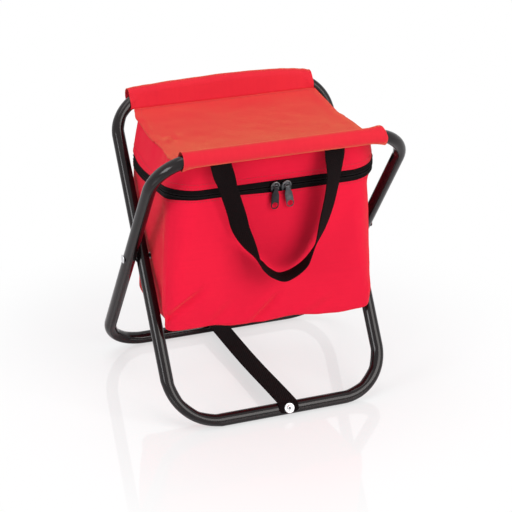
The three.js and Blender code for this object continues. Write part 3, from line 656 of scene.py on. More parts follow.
def makeStrapRivet(name, side, body):
    tilt = math.radians(strapRivet["tilt"])
    axis = (0, side * math.cos(tilt), math.sin(tilt))
    place = (-side * strapRivet["skew"], side * tube["floorRail"], tube["radius"])
    seat, rim = strapRivet["seat"], strapRivet["washer"]
    head, bore, up = strapRivet["head"], strapRivet["bore"], seat + 0.85
    washerOutline = [
        (2.3, seat), (rim, seat), (rim + 0.05, seat + 0.35), (rim - 0.5, seat + 0.75), (4.4, seat + 0.8),
        (3.9, seat + 0.55), (2.3, seat + 0.55), (2.3, seat),
    ]
    rivetOutline = [
        (bore, up - 6), (2.0, up - 6), (2.0, up), (head - 0.1, up), (head, up + 0.35),
        (head - 0.45, up + 0.95), (head - 1.2, up + 1.15), (bore + 0.7, up + 0.85), (bore + 0.2, up + 0.3),
        (bore, up - 0.8), (bore, up - 6),
    ]
    parts = (("strapWasher", washerOutline, "strap_washer"), ("strapRivet", rivetOutline, "strap_rivet"))
    for label, outline, node in parts:
        piece = turnedPiece(f"{label}{name}", outline, place, axis)
        dress(piece, brightSteel, "bright_steel", f"{node}_{name.lower()}")
        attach(piece, body)


makeStrapRivet("Front", -1, "inner_frame")
makeStrapRivet("Rear", 1, "outer_frame")
print("rivets turned")


# Seat: a hemmed sheet slung between the two seams, sagging in the middle
seat = {
    "front": (-102.0, 341.9), "rear": (97.9, 338.6), "sag": 8.3, "cloth": 2.0, "hem": 11, "stitchIn": 2.5,
    "columns": 64, "rows": 26,
}


def seatHeight(y):
    (front, frontHigh), (rear, rearHigh) = seat["front"], seat["rear"]
    share = (y - front) / (rear - front)
    return frontHigh + (rearHigh - frontHigh) * share - 4 * seat["sag"] * share * (1 - share)


seatSides = {
    -1: [
        (-102, -128), (-64, -127.2), (-45, -124.6), (-27, -122), (-12, -122.3), (7, -124), (29, -123.5),
        (54, -122.2), (74, -122.8), (98, -117.8),
    ],
    1: [
        (-102, 121), (-70, 124.5), (-50, 125.7), (-20, 127.1), (-4, 126.4), (7, 126.2), (18, 123.8),
        (36, 124.8), (58, 125.7), (98, 125),
    ],
}


def seatEdge(side, y):
    return between(y, seatSides[side])


seatCrumples = [
    (2.8, -106, -1, 3.0, 9), (-2.6, -100, 0, 3.2, 11), (1.1, -92, 6, 4, 9), (-0.9, -112, 9, 3, 8),
    (0.7, 96, -12, 4, 10), (-0.6, 103, -9, 4, 12),
]


def seatTop(x, y):
    z = seatHeight(y) + seat["cloth"] / 2
    middle = smoothStep(y, -98, -70) * smoothStep(-y, -95, -70)
    z += middle * (0.9 * ripple(x, y, 0, 55, 1) + 0.35 * ripple(x, y, 0, 16, 2))
    edge = min(x - seatEdge(-1, y), seatEdge(1, y) - x)
    # the hem is one more layer, and its stitches pull it down
    z += 0.9 * (1 - smoothStep(edge, seat["hem"] - 1.2, seat["hem"])) * middle
    z -= 0.6 * math.exp(-((edge - seat["hem"] + seat["stitchIn"]) / 0.9) ** 2) * middle
    for size, a, b, wide, long in seatCrumples:  # small folds near the left edge
        z += middle * size * math.exp(-((x - a - 0.25 * y) / wide) ** 2 - ((y - b) / long) ** 2)
    z -= middle * (1 - smoothStep(edge, 0, 6)) * 0.9
    return z


def makeSeatHalf(name, start, end, body):
    rows = []
    for j in range(seat["rows"] + 1):
        y = start + (end - start) * j / seat["rows"]
        left, right = seatEdge(-1, y), seatEdge(1, y)
        rows.append([])
        for i in range(seat["columns"] + 1):
            share = i / seat["columns"]
            share += 0.045 * math.sin(2 * turn * share) / 2  # closer columns at the hems
            x = left + (right - left) * share
            rows[-1].append(Vector((x, y, seatTop(x, y))))
    piece = clothFrom(name, rows if end > start else rows[::-1])
    thickCloth(piece, seat["cloth"], levels=1)
    stitches = []
    for side in (-1, 1):
        line = []
        for j in range(60):
            y = start + (end - start) * (j + 0.5) / 60 * 0.97
            x = seatEdge(side, y) - side * (seat["hem"] - seat["stitchIn"])
            line.append(Vector((x, y, seatTop(x, y))))
        stitches += stitchLine(line, [Vector((0, 0, 1))] * len(line))
    if body == "inner_frame":  # the rear sleeve's seam shows along the back of the seat
        y = end - 4.0
        line = [Vector((x, y, seatTop(x, y) + 0.1)) for x in range(-118, 119, 3)]
        stitches += stitchLine(line, [Vector((0, -0.2, 1))] * len(line))
    dress(piece, litSeatCloth, "red_fabric", "seat_panel")
    thread = dress(sewStitches(f"{name}Stitches", stitches), redThread, "red_fabric")
    for cloth in (piece, thread):
        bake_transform(cloth)
    return piece


seatFront = makeSeatHalf("seatFront", 0, seat["front"][0], "outer_frame")
seatRear = makeSeatHalf("seatRear", 0, seat["rear"][0], "inner_frame")
print("seat slung")


# Sleeves: the seat's cloth goes round the rail, round the bend's start, and back to the seam
sleeve = {"around": 64, "columns": 96}
sleeveLooks = {
    -1: {
        "left": -128, "right": 124.6, "cloth": 0.8, "seam": (-103.6, 343.8), "slant": (3.2, 0.6),
        "lift": [(0, 0), (1, 0)],
        "top": [
            (-128, 9.6), (-118, 9.1), (90, 8.9), (100, 8.9), (106, 9.2), (112, 9.9), (117, 10.7),
            (120, 10.7), (122.5, 9.2),
        ],
        "low": [(-128, 9.5), (-116, 9.1), (106, 9.1), (125, 10.2)],
    },
    1: {
        "left": -121.5, "right": 123.5, "cloth": 0.9, "seam": (99.5, 340.5), "slant": (0, 0),
        "lift": [
            (-121.5, 0.6), (-111, 1.8), (-95, 2.7), (-62, 4.3), (-30, 5.1), (2, 6.1), (34, 5.7), (66, 4.8),
            (82, 4.0), (98, 2.4), (114, 0.3), (123, -2.0),
        ],
        "top": [(0, 9.0), (1, 9.0)],
        "low": [(-121, 8.9), (123, 8.9)],
    },
}


def railCentre(side, x):  # the rail drops down its leg where the tube starts to bend
    loop = outerLoop if side < 0 else innerLoop
    bend = loop["seatBend"]
    past = max(0, abs(x) - (loop["half"] - bend))
    drop = bend - math.sqrt(bend ** 2 - past ** 2)
    leg = legFrame(side)[1]
    return Vector((side * tube["seatRail"], tube["railHeight"])) - Vector((leg.y, leg.z)) * drop


def hullOf(points):
    spots = sorted(set((round(p[0], 4), round(p[1], 4)) for p in points))

    def hollow(a, b, c):
        return (b[0] - a[0]) * (c[1] - a[1]) - (b[1] - a[1]) * (c[0] - a[0]) <= 0

    def half(run):
        kept = []
        for p in run:
            while len(kept) > 1 and hollow(kept[-2], kept[-1], p):
                kept.pop()
            kept.append(p)
        return kept[:-1]

    return half(spots) + half(spots[::-1])


def sleeveSection(side, nominal):
    look = sleeveLooks[side]
    slant = smoothStep(nominal, 88, look["right"])
    x = nominal - look["slant"][0] * slant
    seam = Vector(look["seam"])
    loose = 0.25 * ripple(x, side * 9, 0, 30, 3)
    lift = Vector((0, between(x, look["lift"])))
    circles = [
        (Vector((side * tube["seatRail"], tube["railHeight"])) + lift, between(x, look["top"]) + loose),
        (railCentre(side, nominal), between(nominal, look["low"]) + loose * 0.3),
        (seam, 1.3),
    ]
    turns = [turn * n / 72 for n in range(72)]
    spots = [(c.x + r * math.cos(q), c.y + r * math.sin(q)) for c, r in circles for q in turns]
    outline = [Vector(p) for p in hullOf(spots)]

    def fromSeam(n):  # the far side of the seam comes first
        return (outline[n] - seam).length + (outline[n].x - seam.x) * side * 3

    first = min(range(len(outline)), key=fromSeam)
    outline = outline[first:] + outline[:first]
    reach = runLengths(outline, True)
    row, k = [], 0
    for n in range(sleeve["around"]):
        at = reach[-1] * n / sleeve["around"]
        while reach[k + 1] < at:
            k += 1
        p = outline[k].lerp(outline[(k + 1) % len(outline)], (at - reach[k]) / (reach[k + 1] - reach[k]))
        up = (p.y - tube["railHeight"]) / 10
        row.append(Vector((nominal - slant * up * look["slant"][0 if up > 0 else 1], p.x, p.y)))
    return row


def makeSleeve(name, side, body, node):
    look, rows = sleeveLooks[side], []
    for j in range(sleeve["columns"] + 1):
        share = j / sleeve["columns"]
        share -= 0.06 * math.sin(turn * share)  # closer rows at the flared ends
        rows.append(sleeveSection(side, look["right"] + (look["left"] - look["right"]) * share))
    piece = clothFrom(name, rows, closed=True)
    thickCloth(piece, look["cloth"])
    dress(piece, litSeatCloth, "red_fabric", node)
    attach(piece, body)
    return piece


frontSleeve = makeSleeve("frontSleeve", -1, "outer_frame", "front_sleeve")
rearSleeve = makeSleeve("rearSleeve", 1, "inner_frame", "rear_sleeve")
print("sleeves sewn")


# Bag and lid: round-cornered plans, one above the other
# left, right and back are the radii of the front left, the front right and both rear corners
plans = {
    "bottom": {"z": 119, "half": 127.5, "front": 80, "rear": 73, "left": 17, "right": 7, "back": 18},
    "belly": {"z": 200, "half": 129.3, "front": 88, "rear": 79, "left": 19, "right": 25, "back": 20},
    "mouth": {"z": 283.5, "half": 130, "front": 86, "rear": 80, "left": 36, "right": 36, "back": 20},
    "lidTop": {"z": 351, "half": 120, "front": 97, "rear": 86, "left": 36, "right": 36, "back": 20},
}
zipper = {"z": 291, "end": 56, "toothStep": 1.3, "toothReach": 0.62, "toothThick": 0.5}
bagFoot, bagMouth = plans["bottom"]["z"], plans["mouth"]["z"]
lidFoot = 2 * zipper["z"] - bagMouth  # as far above the zipper as the bag's mouth is below it


def bagPlan(z):  # a smooth curve through the three heights
    names = ("bottom", "belly", "mouth")
    heights = [plans[n]["z"] for n in names]
    shares = []
    for i in range(3):
        top = bottom = 1.0
        for j in range(3):
            if j != i:
                top *= z - heights[j]
                bottom *= heights[i] - heights[j]
        shares.append(top / bottom)
    return {key: sum(s * plans[n][key] for s, n in zip(shares, names)) for key in plans["bottom"]}


def lidPlan(z):
    mouth, top = plans["mouth"], plans["lidTop"]
    share = (z - lidFoot) / (top["z"] - lidFoot)
    return {key: mouth[key] + (top[key] - mouth[key]) * share for key in mouth}


def planRing(plan, inset=0.0, detail=1):  # places and outward ways round a plan, from the middle of the rear
    half, front, rear = plan["half"] - inset, plan["front"] - inset, plan["rear"] - inset
    left, right, back = (max(1.0, plan[key] - inset) for key in ("left", "right", "back"))
    ring = []

    def run(a, b, steps, way):
        for n in range(steps * detail):
            ring.append((Vector(a).lerp(Vector(b), n / steps / detail), Vector(way)))

    def corner(x, y, radius, start):
        for n in range(10 * detail):
            q = start + turn / 4 * n / 10 / detail
            way = Vector((math.cos(q), math.sin(q)))
            ring.append((Vector((x, y)) + way * radius, way))

    run((0, rear), (back - half, rear), 20, (0, 1))
    corner(back - half, rear - back, back, turn / 4)
    run((-half, rear - back), (-half, left - front), 24, (-1, 0))
    corner(left - half, left - front, left, turn / 2)
    run((left - half, -front), (half - right, -front), 44, (0, -1))
    corner(half - right, right - front, right, turn * 3 / 4)
    run((half, right - front), (half, rear - back), 24, (1, 0))
    corner(half - back, rear - back, back, 0)
    run((half - back, rear), (0, rear), 20, (0, 1))
    return ring


def zipDip(x, y):  # the zipper sags a little along each side, as the seat does
    sides = -6.5 * smoothStep(abs(x), 112, 130) * math.exp(-((y - 8) / 44) ** 2)
    right = 5.5 * smoothStep(x, 116, 129) * math.exp(-((y + 42) / 22) ** 2)
    return sides + 1.5 * smoothStep(-y, 40, 80) + right


# How far the sides stand out: a bulge at the front right and the lower right corner, and less at the left
def swell(x, y, z):
    rise = (z - 290) / (11 if z < 290 else 70)
    corner = 4 * smoothStep(x, 85, 127) * smoothStep(-y, 25, 76) * (1 - smoothStep(z, bagFoot, 230))
    left = 3.6 * smoothStep(-x, 110, 130) * math.exp(-((y - 38) / 26) ** 2 - ((z - 289) / 9) ** 2)
    # and pushed out before the left leg
    foot = 8.5 * smoothStep(-x, 92, 122) * smoothStep(-y, 50, 68) * (1 - smoothStep(z, 165, 283))
    return 9.6 * smoothStep(x, 96, 128) * math.exp(-((y + 41) / 30) ** 2 - rise ** 2) + corner - left - foot


def narrowing(x, y):  # the bag's cloth covers a little of the lower tape at the left of the front
    return 0.34 * smoothStep(-x, 0, 70) * smoothStep(-y, 60, 84)


def crease(x, z, a, b, depth, width):  # a valley from a to b, with a ridge along one side
    line = Vector((b[0] - a[0], b[1] - a[1]))
    off = Vector((x - a[0], z - a[1]))
    share = off.dot(line) / line.length_squared
    ends = smoothStep(share, -0.25, 0.25) * smoothStep(1 - share, -0.3, 0.35)
    away = (off - line * share).length * (1 if line.x * off.y - line.y * off.x > 0 else -1)
    valley, ridge = math.exp(-(away / width) ** 2), math.exp(-((away - width * 1.5) / width) ** 2)
    return depth * ends * (-valley + 0.6 * ridge)


bag = {
    "cloth": 1.5, "floor": 112, "wallRows": 80, "round": 3.2, "roundRows": 8,
    "floorInsets": (14, 22, 32, 44, 56, 68), "detail": 2,
}
# how far the lower edge of the front rises and falls
bottomWave = [
    (-130, 3.0), (-112, 4.6), (-80, 5.2), (-48, 0), (-14, -1.2), (26, 1.4), (66, -3.8), (92, -5.6),
    (114, -4.6), (131, -2),
]
# creases as start, end, depth and width, on the front, the two sides and the rear
frontCreases = [
    ((-130, 126), (-94, 168), 5.0, 5.5), ((-26, 112), (6, 147), 3.2, 6), ((-76, 116), (-52, 150), 1.6, 7),
    ((44, 108), (80, 138), 1.4, 8), ((-118, 282), (-74, 240), 0.9, 10), ((118, 280), (70, 236), 0.8, 11),
]
sideCreases = [
    ((-70, 120), (-30, 160), 2.0, 9), ((60, 125), (20, 170), 1.8, 10), ((-60, 275), (-10, 235), 1.4, 10),
]
rearCreases = [((120, 125), (85, 165), 2.2, 9), ((-20, 116), (-60, 150), 1.8, 9)]


def bagDent(x, y, z, way):
    low = 1 - smoothStep(z, bagFoot, 235)
    out = 1.7 * ripple(x, y, z, 70, 4) + 0.7 * ripple(x, y, z, 26, 5) + 0.18 * ripple(x, y, z, 9, 6)
    if way.y < -0.5:
        out += sum(crease(x, z, *fold) for fold in frontCreases)
    if abs(way.x) > 0.5:
        out += sum(crease(y, z, *fold) for fold in sideCreases)
    if way.y > 0.5:
        out += sum(crease(x, z, *fold) for fold in rearCreases)
    hold = smoothStep(bagMouth - z, 0, 22)  # held straight by the zipper
    belly = 1.6 * math.sin(math.pi * min(1, max(0, (z - bag["floor"]) / 170))) * (1 if way.y > -0.5 else 0.4)
    return (out * (0.55 + 0.45 * low) + belly) * hold


def bagPoint(spot, way, z):
    x, y = spot
    wave = between(x, bottomWave) * smoothStep(-y, -20, 70)
    wave += 2.0 * ripple(x, y, 0, 60, 8) * smoothStep(y, -20, 60)
    low = 1 - smoothStep(z, bagFoot, 190)
    dip = zipDip(x, y) * smoothStep(z, 215, bagMouth) + 7.3 * narrowing(x, y) * smoothStep(z, 262, bagMouth)
    out = bagDent(x, y, z, way)
    return Vector((x + way.x * out + swell(x, y, z), y + way.y * out, z + wave * low + dip))


def bagShell():
    rows = []

    def layer(plan, inset, z):
        rows.append([bagPoint(p, w, z) for p, w in planRing(plan, inset, bag["detail"])])

    for inset in reversed(bag["floorInsets"]):
        layer(plans["bottom"], inset, bag["floor"] - 1.5 * math.sin(math.pi * inset / 80))
    for n in range(bag["roundRows"]):
        q = turn / 4 * n / bag["roundRows"]
        layer(plans["bottom"], bag["round"] * (1 - math.sin(q)), bagFoot - 7.5 * math.cos(q))
    for n in range(bag["wallRows"] + 1):
        z = bagFoot + (bagMouth - bagFoot) * n / bag["wallRows"]
        layer(bagPlan(z), 0, z)
    piece = clothFrom("bagShell", rows, closed=True, floored=True)
    thickCloth(piece, bag["cloth"])
    return foldFlat(dress(piece, redCloth, "red_fabric", "bag_shell"), "bag")


shell = bagShell()
print("bag shell lofted")


# Lid wall: from the zipper up to the underside of the seat
lid = {"cloth": 1.5, "rows": 28, "detail": 2}


def lidCeiling(x, y):
    return seatTop(x, max(-101.9, min(97.8, y))) - seat["cloth"] - 0.1


ringStore = {}


def lidSpot(index, z, inset):
    key = (round(z, 2), inset)
    if key not in ringStore:
        ringStore[key] = planRing(lidPlan(z), inset, lid["detail"])
    return ringStore[key][index]


def lidColumn(index, inset, drop):
    spot, way = lidSpot(index, lidFoot, inset)
    foot = lidFoot + zipDip(*spot)
    top = foot + 30
    for _ in range(4):  # the height and the place that hang on each other settle in a few rounds
        spot, way = lidSpot(index, top, inset)
        top = lidCeiling(*spot) - drop
    outer, _ = lidSpot(index, top, 0)
    side = 1 if way.x > 0 else -1  # the sides follow the seat's edge, and the corners hardly
    pull = side * seatEdge(side, outer.y) - 0.5 - lidPlan(top)["half"]
    pull *= side * smoothStep(abs(way.x), 0.3, 1)
    column = []
    for n in range(lid["rows"] + 1):
        share = n / lid["rows"]
        z = foot + (top - foot) * n / lid["rows"]
        spot, way = lidSpot(index, z, inset)
        out = 0
        if not inset:  # only the outer cloth bulges, and less at the left
            out = 1.2 * ripple(spot.x, spot.y, z, 48, 9) + 0.4 * ripple(spot.x, spot.y, z, 15, 10) + 1.1
            out *= math.sin(math.pi * share) ** 0.8
            if way.x < -0.5:
                out *= 0.3
        across = way.x * out + pull * share ** 1.3 + swell(spot.x, spot.y, z) * (1 - share ** 5)
        column.append(Vector((spot.x + across, spot.y + way.y * out, z)))
    return column


def lidWall(name, inset, drop, cloth, *look):
    count = len(planRing(plans["mouth"], 0, lid["detail"]))
    rows = list(zip(*(lidColumn(i, inset, drop) for i in range(count))))
    piece = clothFrom(name, rows, closed=True)
    thickCloth(piece, cloth)
    return foldFlat(dress(piece, *look), "seat_and_lid"), rows


lidOuter, lidRows = lidWall("lidWall", 0, 0, lid["cloth"], redCloth, "red_fabric", "lid_wall")
print("lid wall lofted")


# Foam and liner: thick soft layers inside the bag and the lid
foam = {"inset": 2.4, "thick": 4.6, "floor": 114.0, "wrinkle": 0, "drop": 0.4}
liner = {"inset": 7.4, "thick": 0.8, "floor": 119.0, "wrinkle": 0.5, "drop": 6.2}
foamLook, linerLook = (whiteFoam, "white_foam"), (silverLiner, "silver_liner")
innerBag = {"top": 281.8, "round": 7, "roundRows": 5, "wallRows": 30, "floorInsets": (60, 44, 28, 14)}


def innerBox(name, layer, *look):
    rows = []
    inset, floor, bend = layer["inset"], layer["floor"], innerBag["round"]

    def addRow(plan, inward, z, place, wrinkle=0):  # the shell's own dents, carried inwards
        row = []
        for (p, w), (q, _) in zip(planRing(plan), planRing(plan, inward)):
            start = p if place > bagFoot else q
            shift = bagPoint(start, w, place) - Vector((start.x, start.y, place))
            crinkle = wrinkle * ripple(q.x, q.y, z, 22, 12)
            row.append(Vector((q.x + w.x * crinkle, q.y + w.y * crinkle, z)) + shift)
        rows.append(row)

    for step in innerBag["floorInsets"]:
        addRow(plans["bottom"], step + inset, floor, bag["floor"])
    for n in range(innerBag["roundRows"]):
        q = turn / 4 * n / innerBag["roundRows"]
        addRow(plans["bottom"], inset + bend * (1 - math.sin(q)), floor + bend * (1 - math.cos(q)), 115)
    for n in range(innerBag["wallRows"] + 1):
        z = floor + bend + (innerBag["top"] - floor - bend) * n / innerBag["wallRows"]
        addRow(bagPlan(max(z, bagFoot)), inset, z, z, layer["wrinkle"])
    piece = clothFrom(name, rows, closed=True, floored=True)
    thickCloth(piece, layer["thick"])
    return foldFlat(dress(piece, *look), "bag")


ceiling = {
    "front": -94, "rear": 84, "half": 119.5, "frontRound": 40, "rearRound": 22, "columns": 30, "rows": 26,
}


def lidCeilingSheet(name, inset, drop, cloth, *look):  # the lid's underside, below the seat
    front, rear, columns = ceiling["front"], ceiling["rear"], ceiling["columns"]
    rows = []
    for j in range(ceiling["rows"] + 1):
        y = front + inset + (rear - front - 2 * inset) * j / ceiling["rows"]
        half = ceiling["half"] - inset
        ends = ((-front - inset + y, ceiling["frontRound"]), (rear - inset - y, ceiling["rearRound"]))
        for reach, radius in ends:
            if reach < radius:
                half -= radius - math.sqrt(max(0, radius ** 2 - (radius - reach) ** 2))
        places = (-half + 2 * half * i / columns for i in range(columns + 1))
        rows.append([Vector((x, y, lidCeiling(x, y) - drop)) for x in places])
    piece = clothFrom(name, rows)
    thickCloth(piece, cloth)
    return foldFlat(dress(piece, *look), "seat_and_lid")


bagFoam = innerBox("bagFoam", foam, *foamLook, "bag_insulation")
bagLiner = innerBox("bagLiner", liner, *linerLook, "bag_liner")
lidFoam, _ = lidWall("lidFoam", foam["inset"], foam["drop"], foam["thick"], *foamLook, "lid_insulation")
lidLiner, _ = lidWall("lidLiner", liner["inset"], liner["drop"], liner["thick"], *linerLook, "lid_liner")
foamTop = lidCeilingSheet("lidFoamTop", 7.2, 0.6, 4.8, *foamLook, "lid_insulation")
linerTop = lidCeilingSheet("lidLinerTop", 8.4, 5.8, 0.7, *linerLook, "lid_liner")
print("foam and liner fitted")


# Zipper: ribbed tapes above and below, each with a coil of small teeth, and a plain strip at the rear
def zipPath():
    ring = planRing(plans["mouth"])
    path = [(p, w) for p, w in ring[20:-20] if p.y < zipper["end"] + 0.01]
    for side, place in ((-1, 0), (1, len(path))):  # the second goes in before the last point
        path.insert(place, (Vector((side * plans["mouth"]["half"], zipper["end"])), Vector((side, 0))))
    smooth = []
    for (p, w), (q, v) in zip(path[:-1], path[1:]):
        steps = max(1, round((q - p).length / 2.2))
        for n in range(steps):
            smooth.append((p.lerp(q, n / steps), w.lerp(v, n / steps).normalized()))
    return smooth + [path[-1]]


zipLine = zipPath()
# outward and upward places round the section of a tape, from the coil to the fabric
tapeSection = [
    (-1.4, 0.5), (0.1, 0.5), (0.75, 0.9), (0.95, 1.7), (0.75, 2.6), (0.15, 2.9), (0.0, 3.3), (0.0, 4.3),
    (0.25, 4.6), (0.3, 5.0), (0.1, 5.3), (0.35, 5.8), (0.75, 6.3), (0.8, 6.8), (0.4, 7.2), (-0.4, 7.35),
    (-1.4, 7.3),
]


def zipTeeth(side):  # one small loop of the coil each
    total = runLengths([p for p, _ in zipLine], False)
    teeth, at, i = [], 0.8 + (zipper["toothStep"] / 2 if side > 0 else 0), 0
    while at < total[-1] - 0.5:
        while total[i + 1] < at:
            i += 1
        share = (at - total[i]) / (total[i + 1] - total[i])
        p, w = (zipLine[i][k].lerp(zipLine[i + 1][k], share) for k in (0, 1))
        rise = zipper["z"] + zipDip(*p)
        out = p + w * zipper["toothReach"] + Vector((swell(p.x, p.y, zipper["z"]), 0))
        near, far = (Vector((out.x, out.y, rise + side * up)) for up in (0.15, 2.6))
        teeth.append((near, far, Vector((w.x, w.y, 0))))
        at += zipper["toothStep"]
    return teeth


def zipTape(name, side, body, node):
    rows = []
    for p, w in zipLine:
        rise = zipper["z"] + zipDip(*p)
        wave = 0.25 * ripple(p.x, p.y, side * 40, 18, 13)
        away = p.x + swell(p.x, p.y, zipper["z"])
        tall = 1 - narrowing(*p) if side < 0 else 1
        row = []
        for out, up in tapeSection:
            if up > 3:
                up *= tall
            row.append(Vector((away + w.x * (out + wave), p.y + w.y * (out + wave), rise + side * up)))
        rows.append(row[::-side])
    piece = clothFrom(name, rows, closed=True, capped=True)
    smoothShade(piece, 50)
    foldFlat(dress(piece, zipperTape, "zipper_tape", node), body)
    teeth = sewStitches(f"{name}Teeth", zipTeeth(side), radius=zipper["toothThick"])
    foldFlat(dress(teeth, blackNylon, "zipper_tape"), body)


zipTape("lidZip", 1, "seat_and_lid", "lid_zipper_chain")
zipTape("bagZip", -1, "bag", "bag_zipper_chain")

strip = {"width": 14.4, "rows": 8, "bulge": 0.5, "cloth": 1.5, "inset": 0.2}


def hingeStrip():
    ring = planRing(plans["mouth"], strip["inset"])
    path = [(p, w) for p, w in ring[-54:] + ring[:54] if p.y > zipper["end"] + 0.4]
    rows = []
    for n in range(strip["rows"] + 1):
        up = -strip["width"] / 2 + strip["width"] * n / strip["rows"]
        bulge = strip["bulge"] * math.cos(math.pi * up / strip["width"])
        rows.append([Vector((*(p + w * bulge), zipper["z"] + zipDip(*p) + up)) for p, w in path])
    piece = clothFrom("hingeStrip", rows)
    thickCloth(piece, strip["cloth"], levels=1)
    return foldFlat(dress(piece, redBias, "red_fabric", "rear_hinge_strip"), "seat_and_lid")


rearStrip = hingeStrip()
print("zipper sewn")


# Seams in red thread on the lid and the bag
mouthWays = [Vector((*w, 0)) for _, w in planRing(plans["mouth"], 0, lid["detail"])]


def ringStitches(line):
    return stitchLine(line + line[:1], mouthWays + mouthWays[:1])


def lidLine(height):
    line = []
    for i in range(len(mouthWays)):
        share = height / (lidRows[-1][i].z - lidRows[0][i].z)
        n = min(lid["rows"] - 1, int(share * lid["rows"]))
        line.append(lidRows[n][i].lerp(lidRows[n + 1][i], share * lid["rows"] - n))
    return line


def bagLine(drop):
    z = bagMouth - drop
    return [bagPoint(p, w, z) for p, w in planRing(bagPlan(z), 0, lid["detail"])]


lidSeams = sewStitches("lidStitches", ringStitches(lidLine(2.2)) + ringStitches(lidLine(7.6)))
foldFlat(dress(lidSeams, redThread, "red_fabric"), "seat_and_lid")
bagSeams = sewStitches("bagStitches", ringStitches(bagLine(2.4)))
foldFlat(dress(bagSeams, redThread, "red_fabric"), "bag")
print("seams stitched")


# Sliders and pulls
slider = {
    "plateFace": -88.5, "plate": 1.4, "rise": 0.6, "length": 12.4, "height": 9.6, "corner": 2.6,
    "island": 1.5, "islandHigh": 0.55, "rearPlate": (-83.4, 1.2, 8.8), "bailY": -90.8, "bailZ": 292.2,
    "bail": (3.1, 0.7), "crown": (5.0, 1.0), "places": {"Left": -3, "Right": 11.3},
}


def slab(x, y, z, thick, high):
    nothingSelected()
    size = (slider["length"] * mm, thick * mm, high * mm)
    bpy.ops.mesh.primitive_cube_add(size=1, location=(x * mm, y * mm, z * mm), scale=size)
    return settle(bpy.context.object)


def editMarked(piece, mode):  # into edit mode with the marked edges or faces
    workOn(piece)
    bpy.ops.object.mode_set(mode="EDIT")
    bpy.ops.mesh.select_mode(type=mode)


def frontPlate(x):
    thick = slider["plate"]
    piece = slab(x, slider["plateFace"] + thick / 2, zipper["z"] + slider["rise"], thick, slider["height"])
    bpy.ops.object.mode_set(mode="EDIT")
    bpy.ops.mesh.select_all(action="DESELECT")
    bpy.ops.object.mode_set(mode="OBJECT")
    for edge in piece.data.edges:  # the four edges through the plate are rounded well
        a, b = (piece.data.vertices[v].co for v in edge.vertices)
        edge.select = abs(a.y - b.y) > 0.5 * mm
    editMarked(piece, "EDGE")
    bpy.ops.mesh.bevel(offset=slider["corner"] * mm, segments=5)
    bpy.ops.object.mode_set(mode="OBJECT")
    for face in piece.data.polygons:  # a raised island on the front
        face.select = face.normal.y < -0.9
    editMarked(piece, "FACE")
    bpy.ops.mesh.inset(thickness=slider["island"] * mm)
    bpy.ops.transform.translate(value=(0, -slider["islandHigh"] * mm, 0))
    bpy.ops.object.mode_set(mode="OBJECT")
    applyModifier(
        piece, "BEVEL", width=0.28 * mm, segments=2, limit_method="ANGLE", angle_limit=math.radians(30),
    )
    return piece


def arch(x, y, z, radius, wire):  # a wire bent to half a ring
    nothingSelected()
    place = ((x + radius) * mm, y * mm, (z - 0.4) * mm)
    bpy.ops.mesh.primitive_circle_add(vertices=14, radius=wire * mm, location=place)
    piece = settle(bpy.context.object)
    startEdit(piece)
    bpy.ops.mesh.spin(steps=18, angle=math.pi, center=(x * mm, y * mm, z * mm), axis=(0, 1, 0))
    bpy.ops.mesh.select_all(action="SELECT")
    bpy.ops.mesh.fill_holes(sides=0)
    endEdit()
    return piece


def pin(x, y, z, radius, length, way):
    nothingSelected()
    place = (x * mm, y * mm, z * mm)
    bpy.ops.mesh.primitive_cylinder_add(
        vertices=14, radius=radius * mm, depth=length * mm, location=place, rotation=way,
    )
    piece = settle(bpy.context.object)
    applyModifier(piece, "BEVEL", width=0.2 * mm, segments=2, limit_method="ANGLE")
    return piece


def makeSlider(name):
    x, node, body = slider["places"][name], f"zipper_slider_{name.lower()}", f"{name.lower()}_slider"
    face, y, z = slider["plateFace"], slider["bailY"], slider["bailZ"]
    piece = frontPlate(x)
    piece.name = f"slider{name}"
    rear, thick, high = slider["rearPlate"]
    inner = slab(x, rear, zipper["z"], thick, high)  # inside the coils
    applyModifier(inner, "BEVEL", width=0.5 * mm, segments=3)
    crown = arch(x, face - 1.1, z + 1.2, *slider["crown"])  # over the pull
    bail = arch(x, y, z, *slider["bail"])
    crown.name = f"slider{name}Crown"
    smoothShade(crown, 40)
    foldFlat(dress(crown, palePull, "gunmetal", node), body)
    reach = slider["bail"][0]
    posts = [pin(x + out, face - 1.0, z, 0.7, 3.0, (math.pi / 2, 0, 0)) for out in (-reach, reach)]
    bar = pin(x, y, z, 0.62, 6.8, (0, math.pi / 2, 0))
    joinInto(piece, (inner, bail, *posts, bar))
    smoothShade(piece, 40)
    foldFlat(dress(piece, gunmetal, "gunmetal", node), body)


pull = {"half": 4.9, "neck": 2.4, "length": 27.2, "hole": 3.75, "thick": 1.3, "knuckle": (0.75, 1.6, 2.2)}


def pullOutlines():
    half, neck, hole = pull["half"], pull["neck"], pull["hole"]
    low = half - pull["length"]
    shoulder = [(neck, -1.0), (neck, -2.4), (3.3, -5.0), (half - 0.3, -8.4), (half, -12), (half, -17)]
    tip, ring = [-turn / 2 * n / 14 for n in range(15)], [turn * n / 24 for n in range(24)]
    outer = shoulder + [(half * math.cos(q), low + half * math.sin(q)) for q in tip]
    outer += [(-x, z) for x, z in shoulder[::-1]]
    return outer, [(hole * math.cos(q), low + hole * math.sin(q)) for q in ring]


